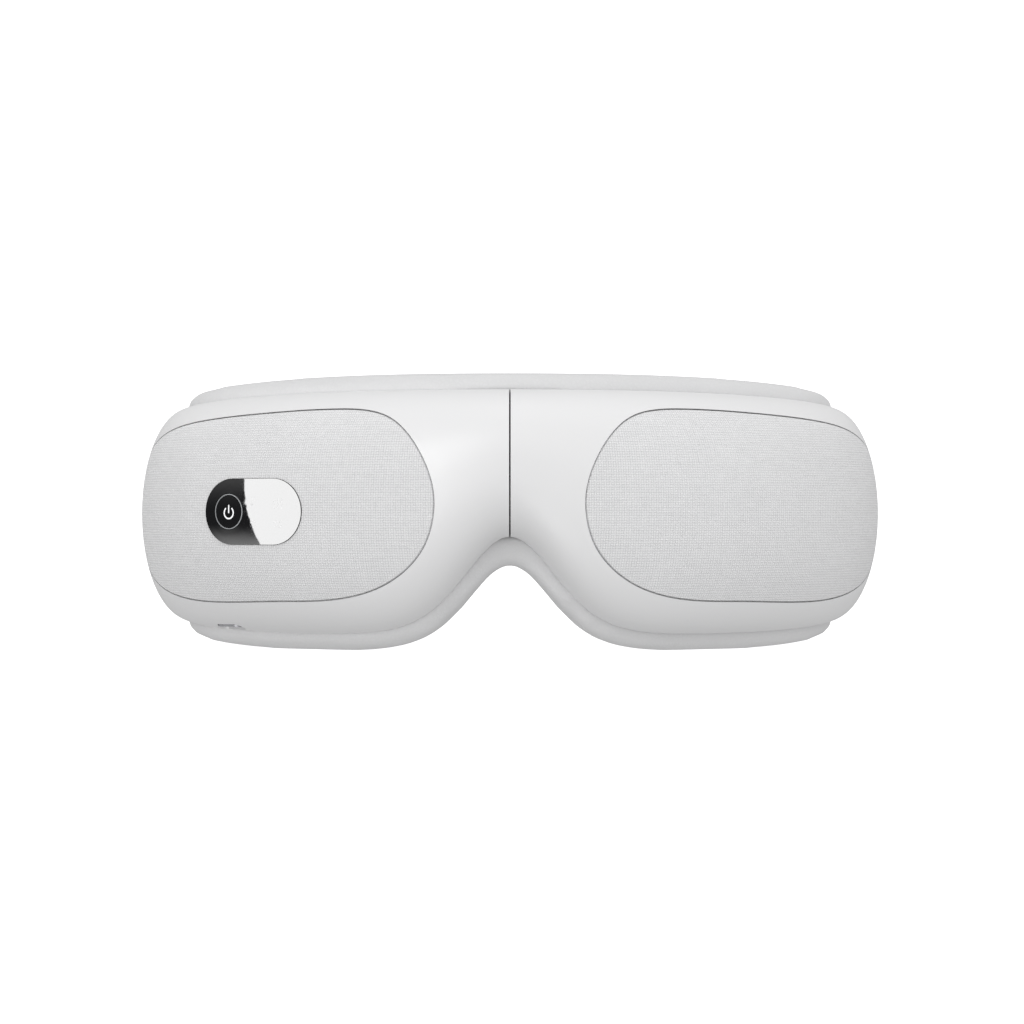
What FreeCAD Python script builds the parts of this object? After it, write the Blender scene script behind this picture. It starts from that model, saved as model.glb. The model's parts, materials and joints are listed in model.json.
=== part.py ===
"""Foldable eye massager mask, in millimetres.

Two curved pods meet at a fold line over the nose.  Each pod is a thin front shell closed by an
inner frame, with the drive parts between them and a soft face pad behind.  Both pods are drawn
once on the +X side of the fold line; the pod that carries the controls is its mirror image at -X.

While drawing, y = 0 is the front of the mask at the fold line and +Y runs towards the face.
When a piece is written, the model is moved so that its origin is the middle of its base.
"""
import FreeCAD, Part
import math
import os

Vector = FreeCAD.Vector

# ---- Overall sizes -------------------------------------------------------------------------
HALF_WIDTH = 100.0      # fold line to the outermost point of a temple
BOW_DEPTH = 66.0        # how far behind the front the temples end
HEIGHT = 72.0           # base to the top of the face pad at the fold line

# ---- Pods ----------------------------------------------------------------------------------
CENTRE_DEPTH = 19.0     # shell depth, front to parting line, at the fold line
TEMPLE_DEPTH = 12.0     # the same at the temple
BELLY_DEPTH = 5.6       # extra depth halfway between them
CENTRE_SQUARENESS = 2.5  # crown power at the fold line: 2 is an ellipse, more is squarer
TEMPLE_SQUARENESS = 2.0
PAD_OVER = 4.5          # how far the face pad stands above the shell
PAD_UNDER = 4.3         # how far it stands below the shell
TEMPLE_DROP = 4.3       # how much lower the top edge is at the temple
TEMPLE_LIFT = 4.2       # how much higher the bottom edge is at the temple
NOSE_RISE = 22.4        # height of the pad over the nose
NOSE_LIP = 7.3          # how far the shell stays above the pad there
NOSE_SPREAD = 17.7      # half-width measure of the pad's nose arch
SHELL_NOSE_SPREAD = 22.5
BASE_SINK = 0.4         # the pad's lobes are cut flat this far up from their lowest point
END_RADIUS = 6.0        # rounding of the temple end
SHELL_WALL = 2.6
SEAM_GAP = 0.4          # visible gap between the pods at the fold line
FIT = 0.15              # assembly clearance between fixed pieces
SOFT_FIT = 0.3          # clearance around soft pieces

# ---- Fabric panels and control window ------------------------------------------------------
PANEL_THICKNESS = 1.2
PANEL_GROOVE = 0.4
PANEL_TURN = 38.0       # direction, from straight ahead, that the panel outline is cut in
PANEL_OUTLINE = (        # shares of the turned pod length across and of the height up
    (0.1267, 0.521), (0.1543, 0.703), (0.2355, 0.835), (0.3655, 0.868),
    (0.5360, 0.856), (0.6985, 0.835), (0.8365, 0.790), (0.9299, 0.694),
    (0.9624, 0.514), (0.9218, 0.312), (0.8040, 0.204), (0.6497, 0.174),
    (0.4711, 0.181), (0.3289, 0.194), (0.2355, 0.243), (0.1543, 0.368),
)
LENS_ANGLE = 41.4       # plan angle of the middle of the control window
LENS_LEVEL = HEIGHT / 2 + 0.2
LENS_LENGTH = 29.8
LENS_HEIGHT = 16.8
LENS_THICKNESS = 1.7
LENS_PROUD = 0.3
LENS_LEDGE = 1.2        # width of the ledge that the window is glued to
BUTTON_OFFSET = 7.0     # from the window's middle towards the temple
BUTTON_RADIUS = 4.15
BUTTON_TRAVEL = 0.6
RING_WIDTH = 0.22

# ---- Inside --------------------------------------------------------------------------------
FRAME_THICKNESS = 2.0
SCREW_RADIUS = 1.0
PORT_ANGLE = 56.0
PORT_WIDTH = 8.94
PORT_HEIGHT = 3.26
PORT_LENGTH = 7.3
PORT_SET_BACK = 5.2     # from the parting line to the middle of the port
MOTOR_RADIUS = 3.5
PUMP_RADIUS = 6.0
BATTERY = (44.0, 7.0, 26.0)     # length, thickness, height
BATTERY_ANGLE = 37.5
SPEAKER_RADIUS = 7.5

# ---- Face side -----------------------------------------------------------------------------
PAD_DEPTH = 16.0
PAD_FRONT_RADIUS = 4.0
PAD_BACK_RADIUS = 6.0
EYE_TURN = 30.0         # direction, from straight back, that the eye openings are cut in
EYE_MIDDLE = 0.63 * HALF_WIDTH
EYE_LENGTH = 0.5 * HALF_WIDTH
EYE_HEIGHT = 40.0
EYE_CORNER = 17.0
SPIGOT_ANGLE = 57.0     # plan angle and height of the airbag's air inlet
SPIGOT_LEVEL = HEIGHT / 2 - 8.0
SPIGOT_RADIUS = 1.6
LINER_DEPTH = 6.8       # from the parting line to the liner's front face
LINER_THICKNESS = 1.2
NOSE_PAD_ANGLE = 11.5   # plan angle where the nose pad gives way to the face pads

# ---- Fold hinge ----------------------------------------------------------------------------
HINGE_Y = CENTRE_DEPTH + 11.0
PIN_RADIUS = 1.25
PIN_RUNNING_FIT = 0.05
KNUCKLE_WALL = 1.5
KNUCKLE_LOW = HEIGHT - 26.0
KNUCKLE_HEIGHT = 5.0
MIDDLE_KNUCKLE = 7.4
KNUCKLE_GAP = 0.3
BRACKET_PLATE = 1.4
BRACKET_REACH = 13.0

# ---- Head strap ----------------------------------------------------------------------------
STRAP_WIDTH = 30.0
STRAP_THICKNESS = 1.6
STRAP_SLOPE = 25.0      # angle between the strap at its anchor and straight across
STRAP_RUN = 36.0        # straight stretch at each anchor
TAIL_LENGTH = 22.0
BAR_RADIUS = 1.5
BAR_STAND_OFF = 5.5     # bar behind the end of the temple
ANCHOR_WALL = 1.5
SLIDER_LENGTH = 12.0
SLIDER_START = 7.0      # from the bar to the near edge of the slider
SLIDER_WALL = 1.6

# ---- Fastenings and cuts --------------------------------------------------------------------
CUT_DEPTH = 60.0        # long enough for any cut to run right through a pod
BOSS_SPOTS = (           # plan angle and height of each screw boss
    (13.0, HEIGHT - 13.0), (30.0, 11.0), (62.0, HEIGHT - 13.5), (66.0, 13.5),
)
BOSS_RADIUS = 2.6
BOSS_CLEARANCE = 0.7    # lets the frame's curved face pass the flat end of a boss
BOSS_START = 9.0        # bosses stand on the wall from this depth in
SCREW_SEAT = 0.6        # underside of a screw head behind the parting line
BRACKET_SCREW_X = 9.5
BRACKET_SCREWS = (KNUCKLE_LOW + 3.0, KNUCKLE_LOW + 15.0)
STAKE_RADIUS = 1.2
PORT_MOUTH = 6.0
CHEEK_RADIUS = 2.6      # round end of the strap anchor's ears
SOUND_HOLE = 0.9        # radius of the holes in front of each speaker

# ---- Drive parts ----------------------------------------------------------------------------
BOARD_FRONT = 6.6       # control board, behind the middle of the window
BOARD_THICKNESS = 1.2
ICON_SPOTS = ((-0.6, 2.5), (-8.4, 2.1), (0.3, -3.3), (-8.4, -3.1))
MOTOR_ANGLE = 28.0
MOTOR_DEPTH = -9.5      # motor's middle, from the parting line
MOTOR_LEVEL = HEIGHT - 17.5
MOTOR_LENGTH = 11.0
SPIGOT_START = -2.6     # the air inlet reaches this far in front of the parting line
PUMP_ANGLE = 19.0
PUMP_DEPTH = 11.6
PUMP_LOW = HEIGHT / 2 - 14.0
PUMP_MOTOR_HEIGHT = 14.0
PUMP_HEAD_HEIGHT = 10.5
PUMP_WALL = 1.5
SHAFT_RADIUS = 0.7
VALVE_ANGLE = SPIGOT_ANGLE
VALVE_DEPTH = 11.0
VALVE_LOW = HEIGHT / 2 + 6.0
VALVE_SIZE = 8.0
VALVE_HEIGHT = 11.0
PLUNGER_RADIUS = 1.5
PLUNGER_TRAVEL = 0.8
LEAD_X = 10.0           # where the leads cross from pod to pod, either side of the fold line
LEAD_LOW = HEIGHT / 2 - 2.0     # height of the air line where it crosses
HOSE_RADIUS = 1.2
HOSE_DEPTH = SHELL_WALL + 4.0   # how deep the pump's hose runs along the shell
HOSE_LEVEL = 0.708 * HEIGHT
HOSE_BORE = 0.6
BOARD_ANGLE = 42.0      # plan angle of the middle of the main board

# ---- Sections that the pods are lofted through ----------------------------------------------
STATIONS = (0, 3.5, 7, 10.5, 14, 18, 23, 30, 38, 46, 54, 62, 70, 76, 81, 85, 88)
END_STEPS = (0, 25, 50, 70, 90)
CROWN_STEPS = 14
BACK_OVERRUN = 4.0      # cavities are cut this far past the parting line


# ---- Plan curve and cross-section rules ----------------------------------------------------
def inward(angle):
    """Unit vector, in plan, pointing from the front surface towards the face."""
    x = -BOW_DEPTH * math.sin(angle)
    y = HALF_WIDTH * math.cos(angle)
    length = math.hypot(x, y)
    return x / length, y / length


def spot(angle, depth, level, past_end=0.0):
    """Point at a plan angle, a depth behind the front surface and a height."""
    nx, ny = inward(angle)
    x = HALF_WIDTH * math.sin(angle) + nx * depth
    y = BOW_DEPTH * (1 - math.cos(angle)) + ny * depth + past_end
    return Vector(x, y, level)


def rim_depth(angle):
    taper = (CENTRE_DEPTH - TEMPLE_DEPTH) * math.cos(angle) ** 2
    return TEMPLE_DEPTH + taper + BELLY_DEPTH * math.sin(2 * angle) ** 2


def shell_top(angle):
    return HEIGHT - PAD_OVER - TEMPLE_DROP * (1 - math.cos(angle)) ** 1.5


def shell_bottom(angle):
    arch = 1 / math.cosh(HALF_WIDTH * math.sin(angle) / SHELL_NOSE_SPREAD) ** 3
    lift = TEMPLE_LIFT * (1 - math.cos(angle)) ** 2.5
    return PAD_UNDER + lift + (NOSE_RISE + NOSE_LIP - PAD_UNDER) * arch


def pad_top(angle):
    return shell_top(angle) + PAD_OVER


def pad_bottom(angle):
    arch = 1 / math.cosh(HALF_WIDTH * math.sin(angle) / NOSE_SPREAD) ** 2
    lift = TEMPLE_LIFT * (1 - math.cos(angle)) ** 2.5
    return (NOSE_RISE + BASE_SINK) * arch + lift - BASE_SINK


def stations():
    """Plan angles and end steps of the sections that the pods are lofted through."""
    along = [(math.radians(a), 0.0) for a in STATIONS]
    return along + [(math.pi / 2, math.radians(s)) for s in END_STEPS]


def end_place(offset, step):
    """Shift past the temple end, and inset there, of a surface at an offset from the front."""
    radius = END_RADIUS - offset
    return radius * math.sin(step), offset + radius * (1 - math.cos(step))


def crown_section(angle, step, offset, overrun):
    """Section of the crowned front at an offset, closed at the parting line or past it."""
    past_end, inset = end_place(offset, step)
    rim = rim_depth(angle)
    blend = math.cos(angle) ** 2
    power = TEMPLE_SQUARENESS + (CENTRE_SQUARENESS - TEMPLE_SQUARENESS) * blend
    top, bottom = shell_top(angle), shell_bottom(angle)
    half, middle = (top - bottom) / 2 - inset, (top + bottom) / 2
    points = []
    for i in range(CROWN_STEPS + 1):
        turn = math.pi * i / CROWN_STEPS - math.pi / 2
        across, up = max(math.cos(turn), 0.0), math.sin(turn)
        size = (across ** power + abs(up) ** power) ** (-1 / power)
        depth = rim - (rim - inset) * across * size
        points.append(spot(angle, depth, middle + half * up * size, past_end))
    if overrun:
        points.insert(0, spot(angle, rim + overrun, middle - half, past_end))
        points.append(spot(angle, rim + overrun, middle + half, past_end))
    crown = Part.BSplineCurve()
    crown.interpolate(Points=points, Parameters=[float(i) for i in range(len(points))])
    return Part.Wire([crown.toShape(), Part.makeLine(points[-1], points[0])])


def crowned_body(offset, overrun=0.0):
    return Part.makeLoft([crown_section(a, s, offset, overrun) for a, s in stations()], True)


def slab(front, back, trim, low=None, high=None):
    """Curved slab between two depths from the parting line, trimmed inside the end rounding."""
    sections = []
    for angle, step in stations():
        past_end, inset = end_place(trim, step)
        rim = rim_depth(angle)
        bottom = shell_bottom(angle) + inset if low is None else low
        top = shell_top(angle) - inset if high is None else high
        corners = [(front, bottom), (back, bottom), (back, top), (front, top), (front, bottom)]
        points = [spot(angle, rim + d, z, past_end) for d, z in corners]
        sections.append(Part.makePolygon(points))
    return Part.makeLoft(sections, True)


def pad_section(angle, step, front, back):
    """Rounded section of the face pad between two depths from the parting line."""
    past_end, inset = end_place(0.0, step)
    rim = rim_depth(angle)
    low, high = pad_bottom(angle) + inset, pad_top(angle) - inset
    corners = (
        (front, high, PAD_FRONT_RADIUS, 1, -1),
        (back, high, PAD_BACK_RADIUS, -1, -1),
        (back, low, PAD_BACK_RADIUS, -1, 1),
        (front, low, PAD_FRONT_RADIUS, 1, 1),
    )
    arcs = []
    for depth, level, radius, along, up in corners:
        bulge = radius * (1 - math.sqrt(0.5))
        places = ((0, radius), (bulge, bulge), (radius, 0))
        if along == up:
            places = places[::-1]
        points = [spot(angle, rim + depth + along * d, level + up * z, past_end) for d, z in places]
        arcs.append(Part.Arc(*points).toShape())
    edges = []
    for i, arc in enumerate(arcs):
        following = arcs[(i + 1) % len(arcs)]
        edges.append(arc)
        edges.append(Part.makeLine(arc.lastVertex().Point, following.firstVertex().Point))
    return Part.Wire(edges)


# ---- Small helpers -------------------------------------------------------------------------
def box(low, high):
    size = [b - a for a, b in zip(low, high)]
    return Part.makeBox(*size, Vector(*low))


def rod(start, end, radius):
    a, b = Vector(*start), Vector(*end)
    return Part.makeCylinder(radius, (b - a).Length, a, b - a)


def turned(shape, angle, depth, level):
    """Place a shape drawn with X along the pod, Y inwards and Z up at a spot on the pod."""
    nx, ny = inward(angle)
    heading = math.degrees(math.atan2(-nx, ny))
    placed = shape.copy()
    placed.rotate(Vector(0, 0, 0), Vector(0, 0, 1), heading)
    placed.translate(spot(angle, depth, level))
    return placed


def facing(turn, outline, reach_out, reach_in):
    """Prism whose outline is drawn across (X) and up (Z), cut along a turned Y direction."""
    moved = outline.copy()
    moved.rotate(Vector(0, 0, 0), Vector(0, 0, 1), turn)
    along = Vector(-math.sin(math.radians(turn)), math.cos(math.radians(turn)), 0)
    moved.translate(along * -reach_out)
    return Part.Face(moved).extrude(along * (reach_out + reach_in))


def round_box_wire(across, level, length, height, corner):
    """Rounded rectangle drawn in X and Z about a middle."""
    half_x, half_z = length / 2, height / 2
    edges = []
    ends = []
    for sx, sz in ((1, 1), (-1, 1), (-1, -1), (1, -1)):
        cx, cz = across + sx * (half_x - corner), level + sz * (half_z - corner)
        out_x = Vector(cx + sx * corner, 0, cz)
        out_z = Vector(cx, 0, cz + sz * corner)
        middle = Vector(cx + sx * corner * math.sqrt(0.5), 0, cz + sz * corner * math.sqrt(0.5))
        first, last = (out_x, out_z) if sx == sz else (out_z, out_x)
        edges.append(Part.Arc(first, middle, last).toShape())
        ends.append((first, last))
    wire = []
    for i, arc in enumerate(edges):
        wire.append(arc)
        start, finish = ends[i][1], ends[(i + 1) % 4][0]
        if (finish - start).Length > 0.001:
            wire.append(Part.makeLine(start, finish))
    return Part.Wire(wire)


def mirrored(shape):
    return shape.mirror(Vector(0, 0, 0), Vector(1, 0, 0))


def largest(shape):
    return max(shape.Solids, key=lambda solid: solid.Volume)


def joined(first, *others):
    return first.fuse(list(others)).removeSplitter()


LENS = math.radians(LENS_ANGLE)


def lens_prism(grow, reach_out=10.0, reach_in=CUT_DEPTH):
    """Capsule prism square to the front surface at the control window."""
    height = LENS_HEIGHT + 2 * grow
    wire = round_box_wire(0, 0, LENS_LENGTH + 2 * grow, height, height / 2 - 0.001)
    prism = Part.Face(wire).extrude(Vector(0, reach_out + reach_in, 0))
    prism.translate(Vector(0, -reach_out, 0))
    return turned(prism, LENS, 0, LENS_LEVEL)


def panel_wire(inset):
    """Outline of the fabric panel across and up, seen square to its turned plane."""
    turn = math.radians(PANEL_TURN)
    span = HALF_WIDTH * math.cos(turn) + (BOW_DEPTH + END_RADIUS) * math.sin(turn)
    points = [(across * span, up * HEIGHT) for across, up in PANEL_OUTLINE]
    middle = Vector(EYE_MIDDLE, 0, HEIGHT / 2)
    moved = []
    count = len(points)
    for i, (x, z) in enumerate(points):
        before, after = points[i - 1], points[(i + 1) % count]
        along = Vector(after[0] - before[0], 0, after[1] - before[1]).normalize()
        inner = Vector(-along.z, 0, along.x)
        if inner.dot(middle - Vector(x, 0, z)) < 0:
            inner = -inner
        moved.append(Vector(x, 0, z) + inner * inset)
    curve = Part.BSplineCurve()
    curve.interpolate(moved, PeriodicFlag=True)
    first, last = curve.FirstParameter, curve.LastParameter
    half = (first + last) / 2
    return Part.Wire([curve.toShape(first, half), curve.toShape(half, last)])


def eye_prism(shrink):
    wire = round_box_wire(
        EYE_MIDDLE, HEIGHT / 2, EYE_LENGTH - 2 * shrink, EYE_HEIGHT - 2 * shrink, EYE_CORNER - shrink
    )
    return facing(EYE_TURN, wire, CUT_DEPTH, CUT_DEPTH)


# ---- Pod casings ---------------------------------------------------------------------------
OUTER = crowned_body(0.0)
CAVITY = crowned_body(SHELL_WALL, BACK_OVERRUN)
UNDER_PANEL = crowned_body(PANEL_THICKNESS, BACK_OVERRUN)
WIDE = (HALF_WIDTH + CUT_DEPTH, 3 * BOW_DEPTH, 2 * HEIGHT)
END_WALL = SEAM_GAP / 2 + SHELL_WALL
SEAM_CUT = box((-CUT_DEPTH, -CUT_DEPTH, -HEIGHT), (SEAM_GAP / 2, WIDE[1], WIDE[2]))
INNER_CUT = box((-CUT_DEPTH, -CUT_DEPTH, -HEIGHT), (END_WALL, WIDE[1], WIDE[2]))


def screw_axis(angle, level, start, end, radius):
    """Cylinder along the inward direction, between two depths from the parting line."""
    a = math.radians(angle)
    rim = rim_depth(a)
    return rod(spot(a, rim + start, level), spot(a, rim + end, level), radius)


def shell():
    """Front shell: crowned skin, end wall at the fold line, panel recess and screw bosses."""
    band = OUTER.cut(UNDER_PANEL)
    recess = largest(band.common(facing(PANEL_TURN, panel_wire(0), CUT_DEPTH, CUT_DEPTH)))
    skin = OUTER.cut(SEAM_CUT).cut(CAVITY.cut(INNER_CUT)).cut(recess)
    bosses = []
    for angle, level in BOSS_SPOTS:
        start = BOSS_START - rim_depth(math.radians(angle))
        boss = screw_axis(angle, level, start, -FRAME_THICKNESS - BOSS_CLEARANCE, BOSS_RADIUS)
        bosses.append(boss.common(UNDER_PANEL))
    body = joined(skin, *bosses)
    for angle, level in BOSS_SPOTS:
        body = body.cut(screw_axis(angle, level, -8.0, 0, SCREW_RADIUS - 0.2))
    return body, band


SHELL, BAND = shell()
PANEL = largest(BAND.common(facing(PANEL_TURN, panel_wire(PANEL_GROOVE), CUT_DEPTH, CUT_DEPTH)))


def window_layer(outer_offset, inner_offset, prism):
    """Piece of the front's own curvature between two offsets, inside a prism."""
    return crowned_body(outer_offset).common(prism).cut(crowned_body(inner_offset, BACK_OVERRUN))


LENS_UNDER = LENS_THICKNESS - LENS_PROUD
POCKET = window_layer(-2.0, LENS_UNDER + 0.1, lens_prism(0.1))
THROUGH = lens_prism(-LENS_LEDGE)


def button_rod(radius, start, end):
    rod_shape = Part.makeCylinder(radius, end - start, Vector(BUTTON_OFFSET, start, 0), Vector(0, 1, 0))
    return turned(rod_shape, LENS, 0, LENS_LEVEL)


def control_lens():
    hole = BUTTON_RADIUS + FIT + RING_WIDTH + FIT
    return window_layer(-LENS_PROUD, LENS_UNDER, lens_prism(0)).cut(button_rod(hole, -5, 8))


def power_button():
    """Curved cap on a stem; it slides square to the window."""
    cap = window_layer(-LENS_PROUD, LENS_UNDER - 0.1, button_rod(BUTTON_RADIUS, -5, 6))
    return joined(cap, button_rod(1.4, 1.2, 4.2))


def light_ring():
    inner = BUTTON_RADIUS + FIT
    ring = window_layer(-LENS_PROUD, LENS_UNDER, button_rod(inner + RING_WIDTH, -5, 6))
    return ring.cut(button_rod(inner, -6, 7))


def local_box(across, depth, up):
    """Box in window coordinates, given as (low, high) across, inwards and up."""
    low, high = zip(across, depth, up)
    return turned(box(low, high), LENS, 0, LENS_LEVEL)


def port_prism(grow, low, high):
    """Vertical capsule prism at the charging port."""
    a = math.radians(PORT_ANGLE)
    wire = round_box_wire(
        0, 0, PORT_WIDTH + 2 * grow, PORT_HEIGHT + 2 * grow, PORT_HEIGHT / 2 + grow - 0.001
    )
    wire.rotate(Vector(0, 0, 0), Vector(1, 0, 0), 90)
    prism = Part.Face(wire).extrude(Vector(0, 0, high - low))
    return turned(prism, a, rim_depth(a) - PORT_SET_BACK, low)


control_shell = SHELL.cut(POCKET).cut(THROUGH).cut(port_prism(0.25, 0, 12))
control_panel = PANEL.cut(lens_prism(0.1))


# ---- Inner frame ---------------------------------------------------------------------------
def along_pod(angle, across, depth, up):
    """Box along the pod, with depths from the parting line, as (low, high) pairs."""
    a = math.radians(angle)
    rim = rim_depth(a)
    low, high = zip(across, [rim + d for d in depth], up)
    return turned(box(low, high), a, 0, 0)


def motor_rod(radius, start, end):
    a = math.radians(MOTOR_ANGLE)
    shape = Part.makeCylinder(radius, end - start, Vector(start, 0, 0), Vector(1, 0, 0))
    return turned(shape, a, rim_depth(a) + MOTOR_DEPTH, MOTOR_LEVEL)


def bracket_screw_rod(start, end, level, radius):
    return rod((BRACKET_SCREW_X, start, level), (BRACKET_SCREW_X, end, level), radius)


def inner_frame():
    plate = slab(-FRAME_THICKNESS, 0, 0, -HEIGHT, 2 * HEIGHT)
    plate = plate.common(crowned_body(SHELL_WALL + FIT, BACK_OVERRUN)).cut(INNER_CUT)
    gap = box((END_WALL, -1, 0), (END_WALL + FIT, WIDE[1], WIDE[2]))
    plate = plate.cut(gap)
    for angle, level in BOSS_SPOTS:
        plate = plate.cut(screw_axis(angle, level, -4, 4, SCREW_RADIUS + 0.1))
    lead_slot = box((LEAD_X - 3.0, 0, LEAD_LOW - 2.0), (LEAD_X + 3.0, CUT_DEPTH, LEAD_LOW + 8.5))
    hose_hole = screw_axis(SPIGOT_ANGLE, SPIGOT_LEVEL, -4, 4, SPIGOT_RADIUS + FIT)
    reach = (MOTOR_DEPTH, -FRAME_THICKNESS + 0.5)
    cradle = along_pod(MOTOR_ANGLE, (-4.0, 4.0), reach, (MOTOR_LEVEL - 4, MOTOR_LEVEL + 4))
    plate = joined(plate, cradle.cut(motor_rod(MOTOR_RADIUS + 0.1, -9, 9)))
    for level in BRACKET_SCREWS:
        plate = plate.cut(bracket_screw_rod(0, CUT_DEPTH, level, SCREW_RADIUS - 0.2))
    for angle in (70.0, 73.0):
        for step in (-4.0, 0.0, 4.0):
            plate = plate.cut(screw_axis(angle, HEIGHT / 2 + step, -4, 4, SOUND_HOLE))
    return plate.cut(lead_slot).cut(hose_hole)


FRAME = inner_frame()


def frame_screws():
    """Four pan-head screws through the frame into the shell's bosses."""
    solids = []
    for angle, level in BOSS_SPOTS:
        shank = screw_axis(angle, level, -6.5, SCREW_SEAT + 0.1, SCREW_RADIUS - 0.25)
        head = screw_axis(angle, level, SCREW_SEAT, SCREW_SEAT + 1.2, SCREW_RADIUS + 0.8)
        rim = rim_depth(math.radians(angle)) + SCREW_SEAT
        slot = box((-1.2, rim + 0.7, -0.25), (1.2, rim + 2.0, 0.25))
        solids.append(joined(shank, head).cut(turned(slot, math.radians(angle), 0, level)))
    return Part.makeCompound(solids)


# ---- Face side -----------------------------------------------------------------------------
def face_pad_body():
    sections = [pad_section(a, s, FIT, PAD_DEPTH) for a, s in stations()]
    below = box((-CUT_DEPTH, -CUT_DEPTH, -CUT_DEPTH), (WIDE[0], WIDE[1], 0))
    return Part.makeLoft(sections, True).cut(below)


def past_plan_angle(angle, gap):
    """Everything on the temple side of a plan angle, less a gap."""
    a = math.radians(angle)
    nx, ny = inward(a)
    start = spot(a, -20, -HEIGHT)
    heading = math.degrees(math.atan2(-nx, ny))
    block = Part.makeBox(2 * WIDE[0], 2 * WIDE[1], 4 * HEIGHT, Vector(gap, 0, 0))
    block.rotate(Vector(0, 0, 0), Vector(0, 0, 1), heading)
    block.translate(start)
    return block


PAD = face_pad_body()
POCKET_DEPTH = SCREW_SEAT + 1.2 + SOFT_FIT
HEAD_POCKETS = [screw_axis(a, z, -1, POCKET_DEPTH, SCREW_RADIUS + 0.8 + SOFT_FIT) for a, z in BOSS_SPOTS]


def face_pad():
    pad = PAD.common(past_plan_angle(NOSE_PAD_ANGLE, SOFT_FIT)).cut(eye_prism(0))
    return pad.cut(Part.makeCompound(HEAD_POCKETS))


def nose_pad():
    """Middle of the pad, both sides of the fold line, hollow round the hinge and the leads."""
    half = PAD.cut(past_plan_angle(NOSE_PAD_ANGLE, 0)).common(
        box((0, -1, 0), (CUT_DEPTH, WIDE[1], WIDE[2]))
    )
    whole = joined(half, mirrored(half))
    width = BRACKET_REACH + 1.0
    low, high = LEAD_LOW - 3.0, BRACKET_HIGH + 1.5
    back = HINGE_Y + PIN_RADIUS + KNUCKLE_WALL + 0.8
    whole = whole.cut(box((-width, 0, low), (width, back, high)))
    pockets = [p for p in HEAD_POCKETS if p.BoundBox.XMin < 2 * width]
    return whole.cut(Part.makeCompound(pockets + [mirrored(p) for p in pockets]))


def eye_layer(front, thickness, shrink):
    return slab(front, front + thickness, 0, 2, HEIGHT - 2).common(eye_prism(shrink))


def eye_liner():
    return eye_layer(LINER_DEPTH, LINER_THICKNESS, FIT)


def heating_film():
    return eye_layer(LINER_DEPTH - 0.8, 0.5, 2.0)


def eye_airbag():
    """Flat air cushion with its hose spigot, which passes through the frame."""
    bag = eye_layer(0.6, LINER_DEPTH - 0.8 - 0.4 - 0.6, 2.5)
    spigot = screw_axis(SPIGOT_ANGLE, SPIGOT_LEVEL, SPIGOT_START, 1.0, SPIGOT_RADIUS)
    return joined(bag, spigot).cut(screw_axis(SPIGOT_ANGLE, SPIGOT_LEVEL, -7.0, 3.0, 0.9))


# ---- Fold hinge ----------------------------------------------------------------------------
BRACKET_FRONT = spot(0.0, rim_depth(0.0), 0).y + FIT
BRACKET_HIGH = KNUCKLE_LOW + 2 * KNUCKLE_HEIGHT + MIDDLE_KNUCKLE + 2 * KNUCKLE_GAP


def knuckle(low, high, running_fit):
    """Barrel on the fold axis with its arm to the bracket plate."""
    radius = PIN_RADIUS + KNUCKLE_WALL
    barrel = Part.makeCylinder(radius, high - low, Vector(0, HINGE_Y, low))
    back = BRACKET_FRONT + BRACKET_PLATE
    root = back - 0.5
    corners = ((END_WALL, root), (END_WALL + 4.0, root), (radius, HINGE_Y), (0, HINGE_Y - radius))
    outline = [Vector(x, y, low) for x, y in corners]
    arm = Part.Face(Part.makePolygon(outline + outline[:1])).extrude(Vector(0, 0, high - low))
    bore = Part.makeCylinder(PIN_RADIUS + running_fit, high - low + 2, Vector(0, HINGE_Y, low - 1))
    return barrel.fuse(arm).cut(bore)


def hinge_bracket(spans, running_fit):
    """Plate on the back of the inner frame with one or two knuckles."""
    plate = slab(FIT, FIT + BRACKET_PLATE, 0, KNUCKLE_LOW, BRACKET_HIGH)
    plate = plate.common(box((END_WALL, 0, 0), (BRACKET_REACH, CUT_DEPTH, HEIGHT)))
    bracket = joined(plate, *[knuckle(low, high, running_fit) for low, high in spans])
    for level in BRACKET_SCREWS:
        bracket = bracket.cut(bracket_screw_rod(0, CUT_DEPTH, level, SCREW_RADIUS + 0.1))
    return bracket


def hinge_screws():
    """Two pan-head screws through the bracket into the frame."""
    face = spot(math.asin(BRACKET_SCREW_X / HALF_WIDTH), 0, 0).y + CENTRE_DEPTH + BRACKET_PLATE + 0.7
    solids = []
    for level in BRACKET_SCREWS:
        shank = bracket_screw_rod(face - 4.0, face + 0.1, level, SCREW_RADIUS - 0.25)
        head = bracket_screw_rod(face, face + 1.2, level, SCREW_RADIUS + 0.8)
        solids.append(joined(shank, head))
    return Part.makeCompound(solids)


UPPER_KNUCKLE = BRACKET_HIGH - KNUCKLE_HEIGHT
OUTER_SPANS = ((KNUCKLE_LOW, KNUCKLE_LOW + KNUCKLE_HEIGHT), (UPPER_KNUCKLE, BRACKET_HIGH))
MIDDLE_SPAN = ((KNUCKLE_LOW + KNUCKLE_HEIGHT + KNUCKLE_GAP, UPPER_KNUCKLE - KNUCKLE_GAP),)


def hinge_pin():
    pin = rod((0, HINGE_Y, KNUCKLE_LOW - 0.8), (0, HINGE_Y, BRACKET_HIGH + 0.2), PIN_RADIUS)
    return joined(pin, rod((0, HINGE_Y, BRACKET_HIGH + 0.1), (0, HINGE_Y, BRACKET_HIGH + 1.0), 2.0))


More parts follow.
